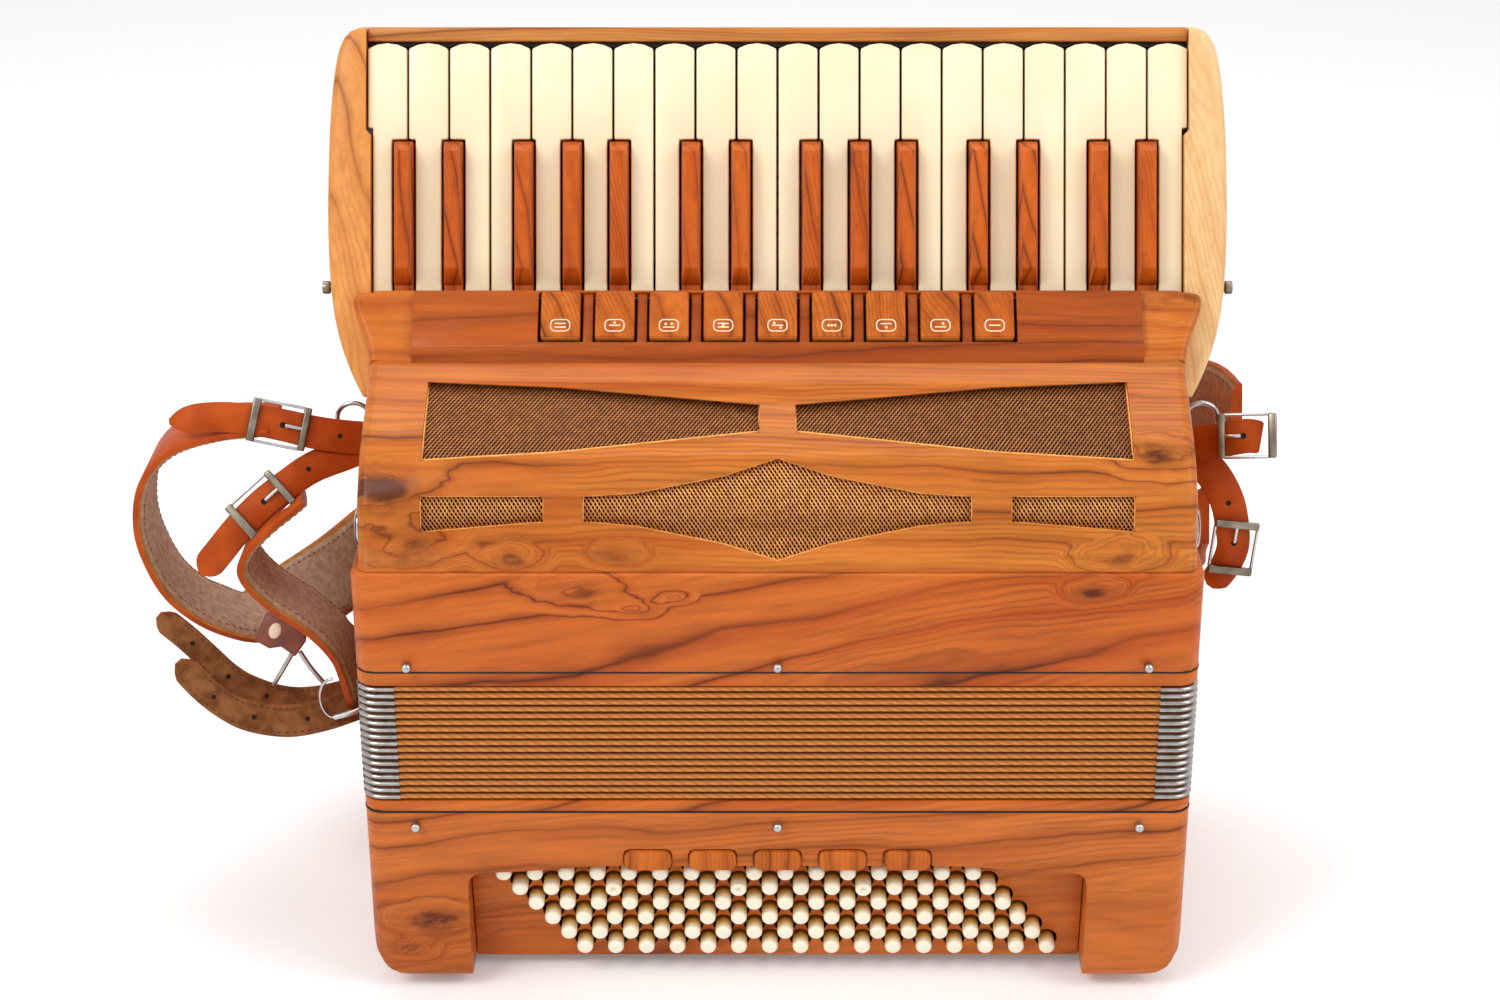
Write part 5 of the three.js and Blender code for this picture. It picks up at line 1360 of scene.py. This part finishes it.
# %% Padded bands
PAD = [(-0.97, 2.4), (0.97, 2.4), (1.0, 1.9), (1.0, -0.4), (0.97, -0.9), (0.9, -1.1), (0.86, -1.9),
       (0.7, -2.7), (0.35, -3.1), (0, -3.2), (-0.35, -3.1), (-0.7, -2.7), (-0.86, -1.9), (-0.9, -1.1),
       (-0.97, -0.9), (-1.0, -0.4), (-1.0, 1.9)]
PIPED, LINED = range(3, 15), range(5, 13)
BANDS = {
    "upper": [
        (-236, 104, 248, LEVEL, 34), (-262, 105, 245.5, LEVEL, 40), (-284, 105, 237.5, LEVEL, 40),
        (-297, 105, 222, LEVEL, 40), (-301, 105, 200, LEVEL, 40), (-297, 105, 180, LEVEL, 40),
        (-288, 106, 162, LEVEL, 40), (-272, 112, 146, LEVEL, 40), (-252, 130, 134, LEVEL, 40),
        (-226, 168, 134, TURNING, 40), (-198, 204, 146, UPRIGHT, 40), (-150, 206, 160, UPRIGHT, 40),
        (0, 208, 190, UPRIGHT, 40), (150, 206, 214, UPRIGHT, 40), (198, 200, 222, UPRIGHT, 40),
        (216, 170, 230, UPRIGHT, 38), (222, 140, 236, UPRIGHT, 30)],
    "lower": [
        (-222, 84, 219, LEVEL, 34), (-237, 80, 208, LEVEL, 40), (-247, 80, 196, LEVEL, 40),
        (-248, 80, 186, LEVEL, 40), (-238, 80, 173, LEVEL, 40), (-221, 81, 159, LEVEL, 40),
        (-210, 84, 144, LEVEL, 40), (-206, 94, 124, LEVEL, 40), (-207, 130, 98, LEVEL, 40),
        (-205, 176, 84, TURNING, 40), (-190, 205, 86, UPRIGHT, 40), (-150, 207, 88, UPRIGHT, 40),
        (0, 208, 106, UPRIGHT, 40), (150, 207, 128, UPRIGHT, 40), (198, 200, 140, UPRIGHT, 40),
        (210, 168, 162, UPRIGHT, 38), (209, 138, 184, UPRIGHT, 30)],
}
for name, stations in BANDS.items():
    pad, frames = strap("shoulder_pad_" + name, stations, PAD, 8)
    for finish in (leather, suede, piping):
        pad.data.materials.append(finish)
    for face in pad.data.polygons:
        place_in_ring = face.index % len(PAD)
        if face.index < (len(frames) - 1) * len(PAD) and place_in_ring in PIPED:
            face.material_index = 1 if place_in_ring in LINED else 2
    dress(pad, "shoulder_pad_" + name, None, "treble_end", "strap_leather", "shoulder_strap_" + name)
    stitches("shoulder_pad_%s_stitches" % name, "treble_end", frames, 0.78, -2.38)
print("pads", len(BANDS))

# %% [markdown]
# The narrow straps lie on the pads and pass through steel buckles. They are swept like the pads,
# but thin, and their ends narrow to a rounded or a cut tip. A strap's face looks at the viewer, so
# its width direction is worked out from its run.

# %% Narrow straps
THIN = [(-0.96, 1.2), (0.96, 1.2), (1.0, 0.9), (1.0, -0.9),
        (0.96, -1.2), (-0.96, -1.2), (-1.0, -0.9), (-1.0, 0.9)]
ROUND_TIP, CUT_TIP = (0.97, 0.86, 0.62, 0.2), (0.98, 0.74, 0.3)
VIEWER = Vector((0, -0.9, 0.42))


def narrow(name, stations, tip):
    points = curve_through([s[:3] for s in stations], 2)
    placed = []
    for n, s in enumerate(stations):
        along = (points[min(2 * n + 1, len(points) - 1)] - points[max(2 * n - 1, 0)]).normalized()
        placed.append((*s[:3], along.cross(VIEWER).normalized(), s[3]))
    return strap(name, placed, THIN, 6, tip)


def frame_on(frames, share):
    """A matrix on a strap: X along it, Y across it, Z out of it."""
    n = max(1, min(len(frames) - 2, round(share * (len(frames) - 1))))
    middle, across, out, width = frames[n]
    along = (frames[n + 1][0] - frames[n - 1][0]).normalized()
    turn = Matrix((along, across, along.cross(across).normalized())).transposed().to_4x4()
    return Matrix.Translation(at(*middle)) @ turn


print("narrow straps are", THIN[0][1] * 2, "mm thick")

# %% [markdown]
# A hole in a strap is cut right through, and a dark plug of felt in it is painted shade. A buckle
# is a slab with a smaller one cut out of it, a prong, and two bars that hold the strap down. All of
# it is placed on a frame that lies on the strap, so it follows the strap's slope.

# %% Holes and buckles
def punched(piece, matrix, radius=1.25):
    """Punches a hole and hands back the plug of painted shade that darkens it."""
    cut(piece, drum(radius, -4, 4, (0, 0, 0), "Z", 14, matrix))
    return drum(radius + 0.2, -0.7, 0.7, (0, 0, 0), "Z", 14, matrix)


def buckle(matrix, width):
    """A wire frame with two bars over the strap, and a prong that points at the bar near the body."""
    half = width / 2 + 1.2
    raised = matrix @ Matrix.Translation((0, 0, 1.3 * MM))
    hoop = slab(rounded(-13.2, 12.6, -half - 1.5, half + 1.5, 3.0), -0.95, 0.95, raised)
    cut(hoop, slab(rounded(-11.7, 11.1, -half, half, 1.6), -1.9, 1.9, raised))
    soften(hoop, 0.6, 3, 50)
    prong = soften(block((-11.5, -0.8, 2.0), (-3.0, 0.8, 3.3), matrix), 0.5, 3)
    bars = [soften(block((low, -half - 1.3, 0.9), (high, half + 1.3, 3.4), matrix), 0.9, 3, 50)
            for low, high in ((-14.0, -10.4), (9.6, 13.6))]
    return [hoop, prong], bars


print("helpers for straps: frame_on, punched, buckle")

# %% [markdown]
# Four narrow straps tie the pads to the brackets. Each is given by its places with a width, its
# tip, and how far along it the buckle and the spare holes sit. A table keeps the four side by
# side, and one loop builds them, so a change to the making reaches all of them.

# %% The four buckled straps
NARROW = {
    "upper_left": (
        [(-192, 101, 240, 15.5), (-205, 97, 243, 15.5), (-217, 94, 246.3, 15.5), (-230, 92, 250.6, 15),
         (-245, 90, 254.4, 14.5), (-261, 89, 256, 14), (-282, 88, 254, 14)],
        ROUND_TIP, 0.54, (0.17,)),
    "lower_left": (
        [(-193, 102, 236, 15), (-203, 96, 234, 15), (-217, 88, 231, 14.5), (-228, 80, 226, 14),
         (-240, 74, 218, 14), (-251, 70, 207.5, 14), (-261, 68, 195.5, 14), (-269, 67, 186, 14)],
        ROUND_TIP, 0.58, (0.3,)),
    "upper_right": (
        [(193, 104, 237, 16), (202, 97, 240, 16), (212, 92, 244, 16), (219, 89, 246.5, 16),
         (225, 88, 246, 15)],
        (1, 0.9), 0.74, ()),
    "lower_right": (
        [(194, 103, 231, 16), (204, 96, 225, 16), (211, 90, 214, 16), (214, 87, 202, 16),
         (215, 86, 191, 15), (212, 87, 180, 14), (206, 89, 169, 13)],
        CUT_TIP, 0.66, (0.36,)),
}
wires, bars, plugs = [], [], []
for name, (stations, tip, buckle_share, hole_shares) in NARROW.items():
    piece, frames = narrow("narrow_strap_" + name, stations, tip)
    spot = frame_on(frames, buckle_share)
    plugs += [punched(piece, frame_on(frames, share)) for share in hole_shares]
    plugs.append(punched(piece, spot @ Matrix.Translation((-2.2 * MM, 0, 0)), 1.5))
    smooth(piece, 50)
    dress(piece, "narrow_strap_" + name, leather, "treble_end", "strap_leather")
    hoop, pair = buckle(spot, stations[2][3])
    wires += hoop
    bars += pair
dress(joined("buckles", wires), "strap_buckles", chrome, "treble_end", "steel")
dress(joined("bars", bars), "buckle_bars", nickel, "treble_end", "steel")
print("buckles", len(bars) // 2)

# %% [markdown]
# A bracket on each side of the case holds the straps: a screwed plate, a lug and a ring. The ring
# is the torus primitive, joined to its lug, and the plate is a softened block.

# %% Rings and brackets
PLATE_THICK, LUG_REACH, RING_REACH = 2.2, 4.4, 10.1
BRACKET_FACE, BRACKET_Y, BRACKET_Z = 190.2, 114, 244.66
PLATE_LOW, PLATE_HIGH = (103, 239.2), (125, 250.2)
for side, name in ((-1, "left"), (1, "right")):
    near, far = sorted((side * BRACKET_FACE, side * (BRACKET_FACE + PLATE_THICK)))
    plate = soften(block((near, *PLATE_LOW), (far, *PLATE_HIGH)), 1.0, 3)
    bpy.ops.mesh.primitive_torus_add(
        major_radius=8 * MM, minor_radius=1.15 * MM, major_segments=40, minor_segments=12,
        rotation=(math.pi / 2, 0, 0))
    ring_place = at(side * (BRACKET_FACE + RING_REACH), BRACKET_Y, BRACKET_Z)
    hoop = smooth(place(bpy.context.object, Matrix.Translation(ring_place)), 60)
    lug = drum_aside(2.6, BRACKET_FACE, BRACKET_FACE + LUG_REACH, BRACKET_Y, BRACKET_Z, side)
    screws = [ball(1.9, (side * (BRACKET_FACE + 2.0), y, BRACKET_Z), scale=(0.5, 1, 1))
              for y in (106.5, 121.5)]
    dress(joined("bracket", [plate, hoop, soften(lug, 0.5, 2)] + screws),
          "strap_bracket_%s_chrome" % name, chrome, "treble_end", "steel", "strap_bracket_" + name)
print("bracket screws", 2 * len(screws))

# %% [markdown]
# Below the left loop hang the spare ends of the back straps: cut tails with punched holes, suede
# side up and a seam along each edge.

# %% Spare ends
TAILS = {
    "outer": [(-203, 116, 99, 14), (-225, 104, 99, 14), (-241, 98, 102, 14), (-256.5, 94, 110, 14),
              (-266, 92, 118.6, 13), (-276, 92, 130, 12.5), (-285, 92, 140, 12.5), (-297, 92, 151.5, 12.5)],
    "inner": [(-194, 94, 105, 15), (-204, 86, 106, 15), (-218, 78, 105, 15.5), (-234.5, 74, 103.7, 15.5),
              (-251, 72, 107, 15), (-262, 72, 112, 14), (-273.5, 72, 122, 13.5), (-285, 72, 137, 13.5)],
}
for name, stations in TAILS.items():
    piece, frames = narrow("spare_strap_" + name, stations, CUT_TIP)
    plugs += [punched(piece, frame_on(frames, share)) for share in (0.36, 0.58, 0.8)]
    smooth(piece, 50)
    for finish in (dark_suede, leather):
        piece.data.materials.append(finish)
    upwards = frame_on(frames, 0.5).col[2].to_3d()
    for face in piece.data.polygons:
        if abs(face.normal.dot(upwards)) < 0.5:
            face.material_index = 1
    dress(piece, "spare_strap_" + name, None, "treble_end", "strap_leather")
    stitches("spare_strap_%s_stitches" % name, "treble_end", frames[:-3], 0.72, 1.2)
# the plugs are painted shade in the strap holes
dress(joined("plugs", plugs), "strap_hole_painted_shade", felt_and_painted_shade, "treble_end", "bellows_cloth")
print("holes in straps", len(plugs))

# %% [markdown]
# A dark leather tab with a rivet ends the upper pad, and bent wire clips join it to the tails. A
# bow of wire hangs at the lower pad, and a ring sits on each side of the case for the back strap.
# Each wire is swept through a few places, as a pair of pliers would bend it.

# %% Tab, clips and side rings
KEEPER = (Matrix.Translation(at(-240, 101, 137)) @ Matrix.Rotation(math.radians(62), 4, "X")
          @ Matrix.Rotation(math.radians(-22), 4, "Z"))
tab_outline = [(-11, -8), (-3, -9), (2, -6), (10, -8), (12, 1), (10, 8), (2, 6), (-4, 9), (-11, 7)]
tab = soften(slab(tab_outline, -1.4, 1.4, KEEPER), 0.7, 3, 50)
dress(tab, "keeper_tab", brown_leather, "treble_end", "strap_leather")
dress(ball(1, (-3.5, 0, 1.4), KEEPER, (3.0, 3.9, 1.0)), "keeper_rivet", mark_white, "treble_end", "steel")

half_turn = [math.radians(t) for t in range(0, 181, 15)]
full_turn = [math.radians(t) for t in range(0, 360, 15)]
clips = [wire([(-245, 95, 112), (-240, 97, 120), (-235, 100, 128)], 1.2),
         wire([(-232, 100, 128), (-227, 97, 121), (-221, 96, 113)], 1.2),
         wire([(-213 - 6.5 * math.sin(t), 76, 115 + 10.5 * math.cos(t)) for t in half_turn], 0.8),
         wire([(-213.5, 76, 104.5), (-207, 77, 106), (-200, 79, 108.5)], 1.5)]
for side in (-1, 1):
    hoop = [(side * 199, 100 + 7 * math.sin(t), 194 + 8.5 * math.cos(t)) for t in full_turn]
    clips.append(wire(hoop, 1.5, closed=True))
    clips.append(drum_aside(2.2, 189, 199, 107, 194, side, sides=16))
dress(joined("clips", clips), "strap_clips", chrome, "treble_end", "steel")
print("clips and rings", len(clips))

# %% [markdown]
# The player's left hand goes under a broad leather strap at the end of the bass case. It lies
# against the end face between the feet, so it is a flat slab with round corners and two seams,
# leather outside and suede towards the hand.

# %% Bass hand strap
low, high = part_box("bass_hand_strap")
low, high = (Vector(low) - BASE) / MM, (Vector(high) - BASE) / MM
hand = soften(slab(rounded(low.x, high.x, low.y, high.y, 12), low.z, high.z), 0.6, 3, 50)
dress(hand, "bass_hand_strap_leather", leather, "bass_end", "strap_leather", "bass_hand_strap")
hand.data.materials.append(suede)
for face in hand.data.polygons:
    if face.normal.z > 0.9:
        face.material_index = 1
SEAM_INSET, SEAM_SPANS = 6, 8
step = (high.x - low.x - 2 * SEAM_INSET) / SEAM_SPANS
seam = [(Vector((low.x + SEAM_INSET + step * k, (low.y + high.y) / 2, low.z)), Vector((0, 1, 0)),
         Vector((0, 0, -1)), high.y - low.y) for k in range(SEAM_SPANS + 1)]
stitches("bass_hand_strap_stitches", "bass_end", seam, 0.88, 0.1, 4.4, 2.7)
print("hand strap", round(high.x - low.x), "mm long")
